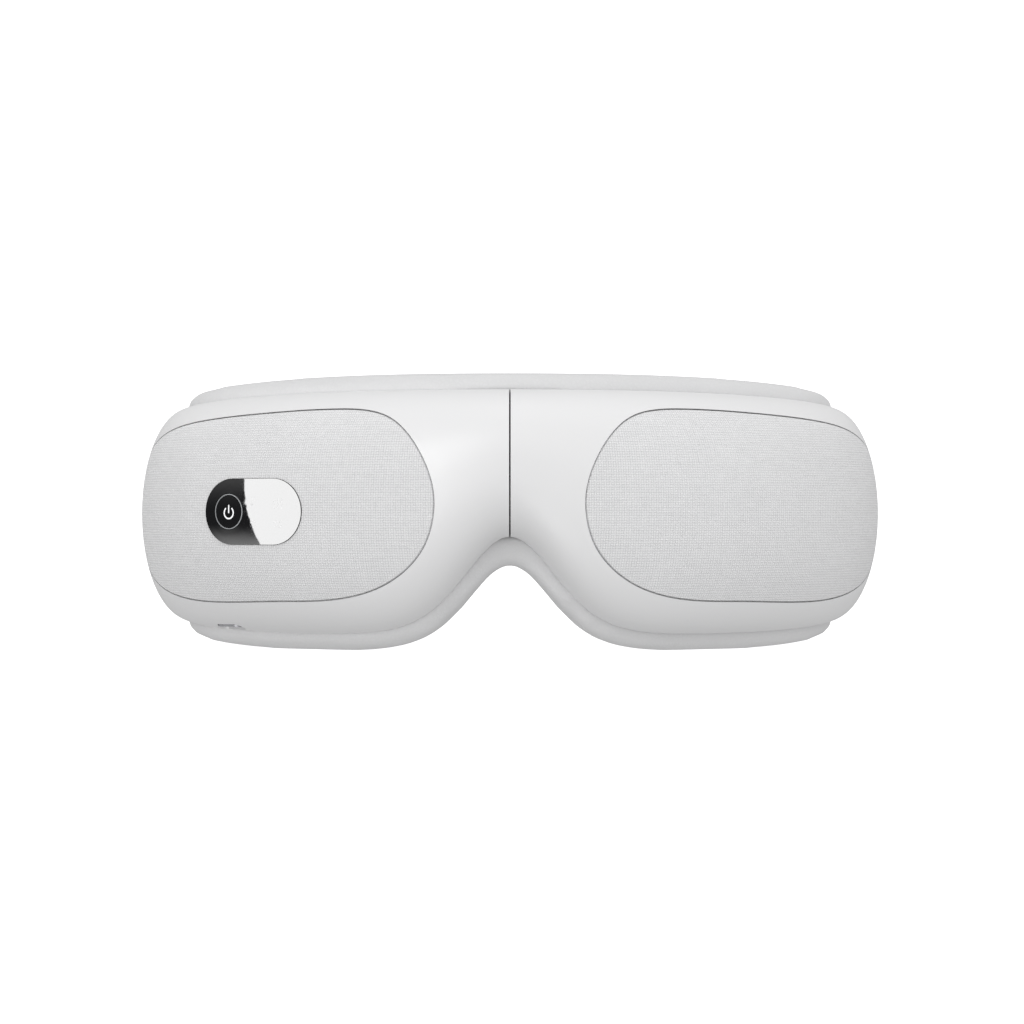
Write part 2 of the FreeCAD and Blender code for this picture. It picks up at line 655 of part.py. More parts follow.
# ---- Head strap ----------------------------------------------------------------------------
TEMPLE_END = BOW_DEPTH + END_RADIUS
BAR_X = HALF_WIDTH - END_RADIUS - (TEMPLE_DEPTH - END_RADIUS) / 2
BAR_Y = TEMPLE_END + BAR_STAND_OFF
STRAP_MIDDLE = HEIGHT / 2
STRAP_LOW, STRAP_TOP = STRAP_MIDDLE - STRAP_WIDTH / 2, STRAP_MIDDLE + STRAP_WIDTH / 2
LOOP_RADIUS = BAR_RADIUS + 0.2 + STRAP_THICKNESS / 2
SLOPE = math.radians(STRAP_SLOPE)
RUN = Vector(-math.cos(SLOPE), math.sin(SLOPE), 0)      # along the strap, away from the temple
OUT = Vector(math.sin(SLOPE), math.cos(SLOPE), 0)       # square to it, away from the face
STAKES = (STRAP_LOW + 4.0, STRAP_TOP - 4.0)


def anchor_stake(start, end, level, radius):
    """Round stake through the end wall of the temple, or with a fit, its hole."""
    return rod((BAR_X, start, level), (BAR_X, end, level), radius)


def strap_anchor():
    """Bracket on the end of the temple with the round bar that the strap loops over."""
    low, high = STRAP_LOW - 1.0, STRAP_TOP + 1.0
    left, right = BAR_X - CHEEK_RADIUS, BAR_X + CHEEK_RADIUS
    base = box((left, TEMPLE_END + 0.05, low - ANCHOR_WALL), (right, TEMPLE_END + 1.5, high + ANCHOR_WALL))
    ears = []
    for level in (low - ANCHOR_WALL, high):
        ears.append(box((left, TEMPLE_END + 1.0, level), (right, BAR_Y, level + ANCHOR_WALL)))
        ears.append(Part.makeCylinder(CHEEK_RADIUS, ANCHOR_WALL, Vector(BAR_X, BAR_Y, level)))
    bar = Part.makeCylinder(BAR_RADIUS, high - low + 0.4, Vector(BAR_X, BAR_Y, low - 0.2))
    stakes = [anchor_stake(TEMPLE_END - SHELL_WALL, TEMPLE_END + 0.5, z, STAKE_RADIUS) for z in STAKES]
    return joined(base, bar, *ears, *stakes)


def ribbon(path, thickness, low, high):
    """Flat strip standing on edge along a plan path of tangent lines and arcs."""
    wire = Part.Wire([edge.toShape() if hasattr(edge, "toShape") else edge for edge in path])
    start = wire.Edges[0].firstVertex().Point
    tangent = wire.Edges[0].tangentAt(wire.Edges[0].FirstParameter)
    side = Vector(-tangent.y, tangent.x, 0) * (thickness / 2)
    lift = Vector(0, 0, low)
    rise = Vector(0, 0, high)
    corners = [start + side + lift, start - side + lift, start - side + rise, start + side + rise]
    profile = Part.makePolygon(corners + corners[:1])
    wire.translate(lift)
    return wire.makePipeShell([profile], True, False, 1)


def run_point(along, out):
    """Point of the +X strap run: distance from the bar, and out from the bar's middle."""
    return Vector(BAR_X, BAR_Y, 0) + RUN * along + OUT * out


def flipped(point):
    """The same point on the other side of the fold line."""
    return Vector(-point.x, point.y, point.z)


def head_strap():
    """Elastic band between the anchors, looped over each bar and folded back on itself."""
    outer_end = run_point(STRAP_RUN, LOOP_RADIUS)
    bow_radius = outer_end.x / math.sin(SLOPE)
    bow_middle = Vector(0, outer_end.y - bow_radius * math.cos(SLOPE), 0)
    crown = bow_middle + Vector(0, bow_radius, 0)
    inner, side, outer = run_point(0, -LOOP_RADIUS), run_point(-LOOP_RADIUS, 0), run_point(0, LOOP_RADIUS)
    half = [
        Part.makeLine(run_point(TAIL_LENGTH, -LOOP_RADIUS), inner),
        Part.Arc(inner, side, outer).toShape(),
        Part.makeLine(outer, outer_end),
    ]
    other = [
        Part.makeLine(flipped(outer_end), flipped(outer)),
        Part.Arc(flipped(outer), flipped(side), flipped(inner)).toShape(),
        Part.makeLine(flipped(inner), flipped(run_point(TAIL_LENGTH, -LOOP_RADIUS))),
    ]
    bow = Part.Arc(outer_end, crown, flipped(outer_end)).toShape()
    return ribbon(half + [bow] + other, STRAP_THICKNESS, STRAP_LOW, STRAP_TOP), crown.y


def strap_slider():
    """Three-bar slider that grips both layers of the strap."""
    half = LOOP_RADIUS + STRAP_THICKNESS / 2 + SOFT_FIT
    frame_low, frame_high = STRAP_LOW - 0.5 - SLIDER_WALL, STRAP_TOP + 0.5 + SLIDER_WALL
    shape = Part.makeBox(SLIDER_LENGTH, 2 * (half + SLIDER_WALL), frame_high - frame_low,
                         Vector(SLIDER_START, -half - SLIDER_WALL, frame_low))
    flat = [e for e in shape.Edges if abs(e.Vertexes[0].Z - e.Vertexes[1].Z) < 0.01]
    shape = shape.makeFillet(1.2, flat)
    for side in (-1, 1):
        inner = sorted((side * half, side * (LOOP_RADIUS - STRAP_THICKNESS / 2 - SOFT_FIT)))
        slot = Part.makeBox(SLIDER_LENGTH + 2, inner[1] - inner[0], STRAP_WIDTH + 1.0,
                            Vector(SLIDER_START - 1, inner[0], STRAP_LOW - 0.5))
        shape = shape.cut(slot)
    shape.rotate(Vector(0, 0, 0), Vector(0, 0, 1), 180 - STRAP_SLOPE)
    shape.translate(Vector(BAR_X, BAR_Y, 0))
    return shape


# ---- Routed leads and hoses ----------------------------------------------------------------
def route(points):
    """Wire of straight runs joined by tangent arcs, each as large as its runs allow."""
    points = [Vector(*p) for p in points]
    edges = []
    last = points[0]
    for before, corner, after in zip(points, points[1:], points[2:]):
        back, on = before - corner, after - corner
        half_turn = (math.pi - back.getAngle(on)) / 2
        cut = 0.45 * min(back.Length, on.Length)
        start = corner + back * (cut / back.Length)
        end = corner + on * (cut / on.Length)
        centre_way = (start + end) * 0.5 - corner
        radius = cut / math.tan(half_turn)
        middle = corner + centre_way * ((radius / math.cos(half_turn) - radius) / centre_way.Length)
        edges.append(Part.makeLine(last, start))
        edges.append(Part.Arc(start, middle, end).toShape())
        last = end
    edges.append(Part.makeLine(last, points[-1]))
    return Part.Wire(edges)


def tube(points, radius):
    wire = route(points)
    start = wire.Edges[0]
    way = start.tangentAt(start.FirstParameter)
    ring = Part.Wire(Part.Circle(Vector(*points[0]), way, radius).toShape())
    return wire.makePipeShell([ring], True, False, 1)


def pod_point(angle, depth, level):
    return spot(math.radians(angle), depth, level)


# ---- Drive parts in the pods ---------------------------------------------------------------
def control_board():
    return local_box((-13.0, 13.0), (BOARD_FRONT, BOARD_FRONT + BOARD_THICKNESS), (-7.4, 7.4))


def button_switch():
    """Tactile switch under the button's stem."""
    top = 4.2 + BUTTON_TRAVEL + 0.05
    sides = (BUTTON_OFFSET - 2.6, BUTTON_OFFSET + 2.6)
    base = local_box(sides, (5.5, BOARD_FRONT - 0.02), (-2.6, 2.6))
    return joined(base, button_rod(1.7, top, 5.6))


def light_guide():
    """Block that carries the light of each indicator up to the window."""
    block = local_box((-11.2, 1.8), (3.0, 6.2), (-5.2, 5.2))
    for across, up in ICON_SPOTS:
        tunnel = Part.makeCylinder(1.2, 6.0, Vector(across, 2.0, up), Vector(0, 1, 0))
        block = block.cut(turned(tunnel, LENS, 0, LENS_LEVEL))
    return block


def indicator_leds():
    leds = []
    for across, up in ICON_SPOTS:
        sides, levels = (across - 0.8, across + 0.8), (up - 0.8, up + 0.8)
        leds.append(local_box(sides, (5.7, BOARD_FRONT - 0.02), levels))
    return Part.makeCompound(leds)


def board_box(across, depth, up):
    """Box on the main board, with heights from the middle of the mask."""
    low, high = up
    return along_pod(BOARD_ANGLE, across, depth, (HEIGHT / 2 + low, HEIGHT / 2 + high))


def main_board():
    """Circuit board in front of the inner frame, with its larger components."""
    board = board_box((-24.0, 13.0), (-6.0, -4.4), (-16.0, 10.0))
    parts = (
        board_box((-16, -8), (-7.6, -5.9), (-7, 1)),
        board_box((-4, 3), (-8.5, -5.9), (-12, -5)),
        board_box((5, 10), (-7.4, -5.9), (-2, 6)),
    )
    return joined(board, *parts)


def usb_port():
    """Charging socket: metal shell, solid back and contact tongue."""
    a = math.radians(PORT_ANGLE)
    top = PORT_MOUTH + PORT_LENGTH
    body = port_prism(0, PORT_MOUTH, top).cut(port_prism(-0.3, PORT_MOUTH - 1, top - 1.5))
    tongue = box((-3.35, -0.35, PORT_MOUTH + 0.6), (3.35, 0.35, top - 1.2))
    return joined(body, turned(tongue, a, rim_depth(a) - PORT_SET_BACK, 0))


def speaker():
    angle = 71.5
    basket = screw_axis(angle, STRAP_MIDDLE, -7.2, -4.0, SPEAKER_RADIUS)
    magnet = screw_axis(angle, STRAP_MIDDLE, -8.7, -7.1, 4.5)
    dish = screw_axis(angle, STRAP_MIDDLE, -4.8, -3.5, SPEAKER_RADIUS - 0.8)
    return joined(basket, magnet).cut(dish)


def vibration_motor():
    """Small can motor, bored at the end for its shaft."""
    can = motor_rod(MOTOR_RADIUS, -MOTOR_LENGTH / 2, MOTOR_LENGTH / 2)
    return can.cut(motor_rod(SHAFT_RADIUS + PIN_RUNNING_FIT, MOTOR_LENGTH / 2 - 3.0, MOTOR_LENGTH))


def motor_weight():
    """Off-centre weight with its shaft."""
    start = MOTOR_LENGTH / 2
    shaft = motor_rod(SHAFT_RADIUS, start - 2.8, start + 4.0)
    disc = motor_rod(MOTOR_RADIUS - 0.4, start + 0.6, start + 4.0)
    depth = (MOTOR_DEPTH - 5, MOTOR_DEPTH + 5)
    half = along_pod(MOTOR_ANGLE, (start, start + 5), depth, (MOTOR_LEVEL - 5, MOTOR_LEVEL - 0.4))
    return joined(disc.common(half), shaft)


def battery():
    length, thickness, height = BATTERY
    back = -FRAME_THICKNESS - 1.2
    levels = (STRAP_MIDDLE - height / 2, STRAP_MIDDLE + height / 2)
    cell = along_pod(BATTERY_ANGLE, (-length / 2, length / 2), (back - thickness, back), levels)
    flat = [e for e in cell.Edges if abs(e.Vertexes[0].Z - e.Vertexes[1].Z) < 0.01]
    long_edges = [e for e in flat if e.Length > thickness + 1.0]
    return cell.makeFillet(2.0, long_edges)


def battery_board():
    length, thickness, height = BATTERY
    low = STRAP_MIDDLE + height / 2 + 0.3
    return along_pod(BATTERY_ANGLE, (2.0, length / 2), (-9.0, -4.0), (low, low + 1.0))


PUMP_AXIS = pod_point(PUMP_ANGLE, PUMP_DEPTH, 0)
PUMP_TOP = PUMP_LOW + PUMP_MOTOR_HEIGHT + 0.1 + PUMP_HEAD_HEIGHT


def pump_cylinder(radius, low, high, offset=0.0):
    return Part.makeCylinder(radius, high - low, PUMP_AXIS + Vector(offset, 0, low))


def pump_motor():
    top = PUMP_LOW + PUMP_MOTOR_HEIGHT
    body = pump_cylinder(PUMP_RADIUS, PUMP_LOW, top)
    return body.cut(pump_cylinder(SHAFT_RADIUS + PIN_RUNNING_FIT, top - 3.0, top + 1))


def pump_head():
    """Diaphragm chamber on the motor, with the air outlet on top."""
    low = PUMP_LOW + PUMP_MOTOR_HEIGHT + 0.1
    body = pump_cylinder(PUMP_RADIUS + 0.2, low, PUMP_TOP)
    chamber = pump_cylinder(PUMP_RADIUS - PUMP_WALL, low + PUMP_WALL, low + 7.5)
    bore = pump_cylinder(SHAFT_RADIUS + PIN_RUNNING_FIT, low - 1, low + 3)
    outlet = pump_cylinder(HOSE_BORE + 0.4, PUMP_TOP - 0.5, PUMP_TOP + 2.0)
    passage = pump_cylinder(HOSE_BORE, low + 7, PUMP_TOP + 3)
    return joined(body, outlet).cut(chamber).cut(bore).cut(passage)


def pump_crank():
    """Crank on the pump motor's shaft that works the diaphragm."""
    low = PUMP_LOW + PUMP_MOTOR_HEIGHT + 0.1 + PUMP_WALL
    shaft = pump_cylinder(SHAFT_RADIUS, low - 4.2, low + 0.8)
    disc = pump_cylinder(PUMP_RADIUS - PUMP_WALL - 1.2, low + 0.4, low + 2.4)
    pin = pump_cylinder(0.6, low + 2.2, low + 4.4, offset=1.7)
    return joined(shaft, disc, pin)


VALVE_AXIS = pod_point(VALVE_ANGLE, VALVE_DEPTH, 0)
VALVE_TOP = VALVE_LOW + VALVE_HEIGHT


def valve_cylinder(radius, low, high):
    return Part.makeCylinder(radius, high - low, VALVE_AXIS + Vector(0, 0, low))


def solenoid_valve():
    """Air release valve with its plunger bore and hose nipple."""
    half = VALVE_SIZE / 2
    coil = box((-half, -half, VALVE_LOW), (half, half, VALVE_TOP))
    block = turned(coil, math.radians(VALVE_ANGLE), VALVE_DEPTH, 0)
    bore = valve_cylinder(PLUNGER_RADIUS + PIN_RUNNING_FIT, VALVE_LOW + 2.5, VALVE_TOP + 1)
    nipple = valve_cylinder(HOSE_BORE + 0.4, VALVE_LOW - 2.0, VALVE_LOW + 0.5)
    return joined(block, nipple).cut(bore).cut(valve_cylinder(HOSE_BORE, VALVE_LOW - 3, VALVE_LOW + 3))


def valve_plunger():
    rest = VALVE_LOW + 2.8
    return valve_cylinder(PLUNGER_RADIUS, rest, VALVE_TOP - PLUNGER_TRAVEL)


def pump_hose():
    """Hose from the pump's outlet along the pod to the valve's side."""
    start = PUMP_AXIS + Vector(0, 0, PUMP_TOP + 2.1)
    side = VALVE_SIZE / 2 + 0.1
    nx, ny = inward(math.radians(VALVE_ANGLE))
    end = VALVE_AXIS + Vector(-ny * side, nx * side, VALVE_LOW + 6.0)
    lead_in = end + Vector(-ny * 6.0, nx * 6.0, 0)
    points = [start, pod_point(PUMP_ANGLE, PUMP_DEPTH - 0.5, PUMP_TOP + 7.0)]
    points.append(pod_point(27.0, HOSE_DEPTH, HOSE_LEVEL))
    points.append(pod_point(35.0, HOSE_DEPTH - 0.4, HOSE_LEVEL + 0.5))
    points.append(pod_point(43.0, HOSE_DEPTH, HOSE_LEVEL - 0.5))
    points += [lead_in, end]
    return tube([tuple(p) for p in points], HOSE_RADIUS)


def airbag_hose():
    """Hose from the valve's nipple down and back to the airbag's inlet."""
    rim = rim_depth(math.radians(SPIGOT_ANGLE))
    end_depth = rim + SPIGOT_START - 0.1
    bend = end_depth - VALVE_DEPTH
    top = pod_point(VALVE_ANGLE, VALVE_DEPTH, VALVE_LOW - 2.1)
    start = pod_point(VALVE_ANGLE, VALVE_DEPTH, SPIGOT_LEVEL + bend)
    sag = bend * (1 - math.sqrt(0.5))
    half = pod_point(VALVE_ANGLE, VALVE_DEPTH + sag, SPIGOT_LEVEL + sag)
    end = pod_point(VALVE_ANGLE, end_depth, SPIGOT_LEVEL)
    wire = Part.Wire([Part.makeLine(top, start), Part.Arc(start, half, end).toShape()])
    ring = Part.Wire(Part.Circle(top, Vector(0, 0, 1), HOSE_RADIUS).toShape())
    return wire.makePipeShell([ring], True, False, 1)


def bridge_hose():
    """Air line from pod to pod, through both frames behind the shells' end walls."""
    back = HINGE_Y - 6.5
    half = [(LEAD_X + 6.0, 13.0), (LEAD_X, 15.5), (LEAD_X - 0.5, back)]
    points = half + [(-x, y) for x, y in half[::-1]]
    return tube([(x, y, LEAD_LOW) for x, y in points], HOSE_RADIUS)


def ribbon_cable():
    """Flat cable that joins the boards of the two pods."""
    back = HINGE_Y - 7.5
    half = [(LEAD_X + 8.0, 12.0, 0), (LEAD_X, 15.0, 0), (LEAD_X - 1.0, back, 0)]
    wire = route(half + [(-x, y, z) for x, y, z in half[::-1]])
    return ribbon(wire.Edges, 0.4, LEAD_LOW + 2.5, LEAD_LOW + 7.5)


# ---- Write every piece ---------------------------------------------------------------------
STRAP, STRAP_CROWN = head_strap()
TOTAL_DEPTH = STRAP_CROWN + STRAP_THICKNESS / 2


def write(name, shape):
    placed = shape.copy()
    placed.translate(Vector(0, -TOTAL_DEPTH / 2, 0))
    placed.exportStep("parts/%s.step" % name)


def main():
    os.makedirs("parts", exist_ok=True)
    hole_radius = STAKE_RADIUS + FIT
    holes = [anchor_stake(TEMPLE_END - 5, TEMPLE_END + 1, z, hole_radius) for z in STAKES]
    end_holes = Part.makeCompound(holes)
    both = {
        "inner_frame": FRAME,
        "frame_screws": frame_screws(),
        "face_pad": face_pad(),
        "eye_liner": eye_liner(),
        "heating_film": heating_film(),
        "eye_airbag": eye_airbag(),
        "vibration_motor": vibration_motor(),
        "motor_weight": motor_weight(),
        "speaker": speaker(),
        "hinge_screws": hinge_screws(),
        "strap_anchor": strap_anchor(),
    }
    for name, shape in both.items():
        write("right_" + name, shape)
        write("left_" + name, mirrored(shape))
    write("right_front_shell", SHELL.cut(end_holes))
    write("right_fabric_panel", PANEL)
    write("right_hinge_bracket", hinge_bracket(MIDDLE_SPAN, PIN_RUNNING_FIT))
    write("battery", battery())
    write("battery_board", battery_board())
    left_only = {
        "left_front_shell": control_shell.cut(end_holes),
        "left_fabric_panel": control_panel,
        "left_hinge_bracket": hinge_bracket(OUTER_SPANS, 0.02),
        "control_lens": control_lens(),
        "power_button": power_button(),
        "light_ring": light_ring(),
        "button_switch": button_switch(),
        "control_board": control_board(),
        "light_guide": light_guide(),
        "indicator_leds": indicator_leds(),
        "main_board": main_board(),
        "charging_port": usb_port(),
        "air_pump_motor": pump_motor(),
        "air_pump_head": pump_head(),
        "pump_crank": pump_crank(),
        "release_valve": solenoid_valve(),
        "valve_plunger": valve_plunger(),
        "pump_hose": pump_hose(),
        "airbag_hose": airbag_hose(),
        "strap_slider": strap_slider(),
    }
    for name, shape in left_only.items():
        write(name, mirrored(shape))
    write("nose_pad", nose_pad())
    write("hinge_pin", hinge_pin())
    write("head_strap", STRAP)
    write("bridge_hose", bridge_hose())
    write("ribbon_cable", ribbon_cable())


main()
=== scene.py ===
"""Looks of a folding eye massager mask: white pods, woven panels, a soft face pad and a strap."""
import json
import math

import bmesh
import bpy
import numpy as np
from bpy.props import FloatProperty, FloatVectorProperty, PointerProperty
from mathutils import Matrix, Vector
from mathutils.bvhtree import BVHTree


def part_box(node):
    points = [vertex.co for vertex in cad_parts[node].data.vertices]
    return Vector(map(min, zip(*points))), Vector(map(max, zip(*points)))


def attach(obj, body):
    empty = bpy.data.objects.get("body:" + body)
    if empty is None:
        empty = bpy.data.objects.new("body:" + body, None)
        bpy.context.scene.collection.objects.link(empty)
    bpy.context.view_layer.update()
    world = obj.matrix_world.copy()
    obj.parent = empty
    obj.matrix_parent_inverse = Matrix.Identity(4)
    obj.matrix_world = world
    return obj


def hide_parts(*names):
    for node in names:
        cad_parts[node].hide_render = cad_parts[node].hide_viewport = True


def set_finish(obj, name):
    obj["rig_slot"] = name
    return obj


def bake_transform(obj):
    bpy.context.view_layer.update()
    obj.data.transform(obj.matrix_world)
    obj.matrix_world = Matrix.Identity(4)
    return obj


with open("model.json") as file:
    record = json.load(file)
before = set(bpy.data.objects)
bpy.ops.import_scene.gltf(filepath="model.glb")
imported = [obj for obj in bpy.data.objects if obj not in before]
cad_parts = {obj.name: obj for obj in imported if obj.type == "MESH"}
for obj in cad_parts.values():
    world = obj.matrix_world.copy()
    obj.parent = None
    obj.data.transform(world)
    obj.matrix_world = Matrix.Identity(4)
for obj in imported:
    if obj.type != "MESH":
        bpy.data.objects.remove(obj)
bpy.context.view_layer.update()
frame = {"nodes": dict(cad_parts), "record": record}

bl_info = {
    "name": "Eye massager mask",
    "version": (1, 0, 0),
    "blender": (4, 5, 0),
    "location": "3D View > Sidebar > Mask",
    "description": "Finishes and soft parts of a folding eye massager mask",
    "category": "Object",
}

SHELL_LOW, SHELL_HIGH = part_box("right_front_shell")
FRONT_Y = SHELL_LOW.y
HALF_WIDTH = SHELL_HIGH.x

NOSE_END = 0.0145           # the nose pad is stretched past here, over its joins
NOSE_OVERLAP = 0.0012
HELD_BEHIND = 0.004         # the pad's skin is held this near the parting line
HELD_NOSE = 0.004           # and this near the fold line
BAG_VOXEL = 0.0011
LINER_SEAM = 0.0032         # sewn ring, in from the liner's edge
SEWN_END = 0.0045           # stitched length at each end of the strap
STITCH_OFFSET = 0.0014      # stitches either side of the pad's seam
PRINT_RISE = 0.00001        # height of the marks above the polished window
PRINT_SINK = 0.000004       # how far their edges are let in


# ---- Sizes and colours a user would change -------------------------------------------------
def length(name, default, description):
    return FloatProperty(
        name=name, default=default, min=0.0, unit="LENGTH", precision=5, description=description
    )


def colour(name, default, description):
    return FloatVectorProperty(
        name=name, default=default, size=3, min=0.0, max=1.0, subtype="COLOR",
        description=description,
    )


class MaskSizes(bpy.types.PropertyGroup):
    bow_depth: length("Bow depth", 0.066, "How far behind the front the temples end")
    centre_depth: length("Centre depth", 0.019, "Pod depth at the fold line")
    temple_depth: length("Temple depth", 0.012, "Pod depth at the temple")
    belly_depth: length("Belly depth", 0.0056, "Extra pod depth between the two")
    yarn_pitch: length("Yarn pitch", 0.00064, "Spacing of the yarns in the front panels")
    panel_edge: length("Panel edge", 0.0002, "Rounding of the fabric where it turns in")
    pad_voxel: length("Pad fineness", 0.0017, "Size of the face pad's first faces")
    pad_swell: length("Pad swell", 0.0022, "The most that the pad's skin stands out")
    pad_seam: length("Pad seam depth", 0.0115, "Seam behind the parting line")
    pad_piping: length("Seam width", 0.0007, "Width of the sewn groove round the pad")
    stitch_pitch: length("Stitch pitch", 0.0026, "Length of one stitch and its gap")
    eye_length: length("Eye opening length", 0.050, "Length of the opening in the pad")
    eye_height: length("Eye opening height", 0.040, "Height of the opening in the pad")
    eye_corner: length("Eye opening corner", 0.017, "Corner radius of the opening")
    eye_middle: length("Eye opening middle", 0.063, "Middle of the opening, across its plane")
    eye_turn: FloatProperty(
        name="Eye opening turn", default=math.radians(30), subtype="ANGLE", unit="ROTATION",
        description="Direction that the eye openings face, from straight back",
    )
    liner_depth: length("Liner depth", 0.0068, "Front of the liner behind the parting line")
    liner_thickness: length("Liner thickness", 0.0012, "Thickness of the eye liner's cloth")
    liner_crown: length("Liner crown", 0.0022, "How far the liner stands out at its middle")
    window_angle: FloatProperty(
        name="Window angle", default=math.radians(41.4), subtype="ANGLE", unit="ROTATION",
        description="Plan angle of the middle of the control window",
    )
    button_offset: length("Button offset", 0.0070, "From the window's middle to the button")
    mark_width: length("Mark width", 0.00042, "Stroke width of the power mark")
    icon_width: length("Icon width", 0.00028, "Stroke width of the small icons")
    strap_width: length("Strap width", 0.030, "Width of the head strap")
    strap_thickness: length("Strap thickness", 0.0016, "Thickness of the head strap")
    strap_slope: FloatProperty(
        name="Strap slope", default=math.radians(25), subtype="ANGLE", unit="ROTATION",
        description="Angle of the strap at its anchor",
    )
    strap_run: length("Strap run", 0.036, "Straight stretch at each anchor")
    strap_tail: length("Strap tail", 0.022, "Length folded back at each anchor")
    loop_radius: length("Loop radius", 0.0025, "Middle of the strap round the anchor bar")


class MaskColours(bpy.types.PropertyGroup):
    shell: colour("Shell", (0.82, 0.82, 0.825), "Satin white front shells")
    panel: colour("Panel", (0.92, 0.92, 0.925), "Light grey woven panels")
    # Panel shade: painted shade between the yarns, mixed with the yarns' own tone.
    panel_gap_shade: colour("Panel shade", (0.56, 0.56, 0.57), "Between the yarns of the panels")
    pad: colour("Face pad", (0.70, 0.70, 0.705), "Soft grey synthetic leather")
    # Face pad folds: painted shade in the sewn seam's groove round the pad.
    pad_seam_shade: colour("Face pad folds", (0.54, 0.54, 0.55), "In the grain and the seams")
    liner: colour("Liner", (0.45, 0.45, 0.47), "Fine knitted liner over the eyes")
    strap: colour("Strap", (0.42, 0.42, 0.43), "Woven elastic webbing")
    thread: colour("Thread", (0.70, 0.70, 0.70), "Sewing thread")
    window: colour("Window", (0.007, 0.007, 0.008), "Polished black window")
    mark: colour("Marks", (0.90, 0.91, 0.92), "Power mark and icons")
    floor: colour("Floor", (0.86, 0.86, 0.86), "Plain pale floor")


def sizes():
    return bpy.context.scene.mask_sizes


def colours():
    return bpy.context.scene.mask_colours


# ---- Shader expressions --------------------------------------------------------------------
class Wire:
    """An output socket that takes part in plain arithmetic."""

    def __init__(self, look, socket):
        self.look = look
        self.socket = socket

    def __add__(self, other):
        return self.look.math("ADD", self, other)

    def __radd__(self, other):
        return self.look.math("ADD", other, self)

    def __sub__(self, other):
        return self.look.math("SUBTRACT", self, other)

    def __rsub__(self, other):
        return self.look.math("SUBTRACT", other, self)

    def __mul__(self, other):
        return self.look.math("MULTIPLY", self, other)

    def __rmul__(self, other):
        return self.look.math("MULTIPLY", other, self)

    def __truediv__(self, other):
        return self.look.math("DIVIDE", self, other)

    def __pow__(self, other):
        return self.look.math("POWER", self, other)

    def __abs__(self):
        return self.look.math("ABSOLUTE", self)

    def __gt__(self, other):
        return self.look.math("GREATER_THAN", self, other)

    def __lt__(self, other):
        return self.look.math("LESS_THAN", self, other)


class Nodes:
    """A node tree and the few moves that it is filled with."""

    def __init__(self, tree):
        self.tree = tree

    def feed(self, socket, value):
        if isinstance(value, Wire):
            self.tree.links.new(value.socket, socket)
        elif socket.type == "RGBA" and len(value) == 3:
            socket.default_value = (*value, 1.0)
        else:
            socket.default_value = value

    def node(self, kind, settings, inputs, output=0):
        made = self.tree.nodes.new(kind)
        for name, value in settings.items():
            setattr(made, name, value)
        for name, value in inputs.items():
            self.feed(made.inputs[name], value)
        return Wire(self, made.outputs[output])

    def math(self, operation, *values):
        return self.node("ShaderNodeMath", {"operation": operation}, dict(enumerate(values)))

    def sin(self, value):
        return self.math("SINE", value)

    def clamped(self, value):
        return self.node("ShaderNodeClamp", {}, {"Value": value})

    def smooth(self, value, low, high):
        settings = {"interpolation_type": "SMOOTHSTEP"}
        return self.node(
            "ShaderNodeMapRange", settings, {"Value": value, "From Min": low, "From Max": high}
        )

    def grey(self, value):
        return self.mix(value, (0.0, 0.0, 0.0), (1.0, 1.0, 1.0))

    def mix(self, factor, a, b):
        made = self.tree.nodes.new("ShaderNodeMix")
        made.data_type = "RGBA"
        self.feed(made.inputs[0], factor)
        self.feed(made.inputs[6], a)
        self.feed(made.inputs[7], b)
        return Wire(self, made.outputs[2])

    def place(self, kind="Object"):
        return self.node("ShaderNodeTexCoord", {}, {}, output=kind)

    def axes(self, kind="Object"):
        split = self.tree.nodes.new("ShaderNodeSeparateXYZ")
        self.feed(split.inputs[0], self.place(kind))
        return [Wire(self, out) for out in split.outputs]

    def attribute(self, name):
        return self.node("ShaderNodeAttribute", {"attribute_name": name}, {}, output="Fac")

    def stretched(self, x, y, z):
        return self.node("ShaderNodeCombineXYZ", {}, {0: x, 1: y, 2: z})

    def noise(self, size, detail=2.0, vector=None):
        inputs = {"Vector": vector or self.place(), "Scale": 1.0 / size, "Detail": detail}
        return self.node("ShaderNodeTexNoise", {}, inputs, output="Fac")

    def cells(self, size, feature="DISTANCE_TO_EDGE", vector=None):
        inputs = {"Vector": vector or self.place(), "Scale": 1.0 / size}
        return self.node("ShaderNodeTexVoronoi", {"feature": feature}, inputs, output="Distance")


class Look(Nodes):
    """A material that all the finishes are made from."""

    def __init__(self, name, roughness=0.5, **constants):
        self.material = bpy.data.materials.new(name)
        self.material.use_nodes = True
        super().__init__(self.material.node_tree)
        self.surface = self.tree.nodes["Principled BSDF"]
        self.set(Roughness=roughness, **constants)

    def set(self, **values):
        for name, value in values.items():
            self.feed(self.surface.inputs[name.replace("_", " ")], value)
        return self

    def bump(self, height, distance, strength=1.0):
        inputs = {"Height": height, "Distance": distance, "Strength": strength}
        self.set(Normal=self.node("ShaderNodeBump", {}, inputs))
        return self


def lighter(shade, factor):
    return tuple(min(1.0, value * factor) for value in shade)


def moulded_plastic(name, shade, roughness=0.42, grain=0.00018, depth=0.000004):
    """Plastic with a fine spark-eroded grain and a faint change of tone."""
    look = Look(name, IOR=1.49)
    cloud = look.noise(0.03, detail=1.0)
    look.set(Base_Color=look.mix(cloud, shade, lighter(shade, 1.035)))
    look.set(Roughness=roughness - 0.03 + look.noise(0.004) * 0.06)
    return look.bump(look.noise(grain, detail=1.0), depth).material


def metal(name, shade, roughness=0.32):
    """Metal drawn or brushed in one direction, with faint handling marks."""
    look = Look(name, Metallic=1.0)
    x, y, z = look.axes()
    brushed = look.noise(0.0006, vector=look.stretched(x, y, z * 0.06))
    look.set(Base_Color=look.mix(brushed, lighter(shade, 0.9), lighter(shade, 1.1)))
    look.set(Roughness=roughness - 0.08 + look.noise(0.006) * 0.16)
    return look.bump(brushed, 0.000006).material


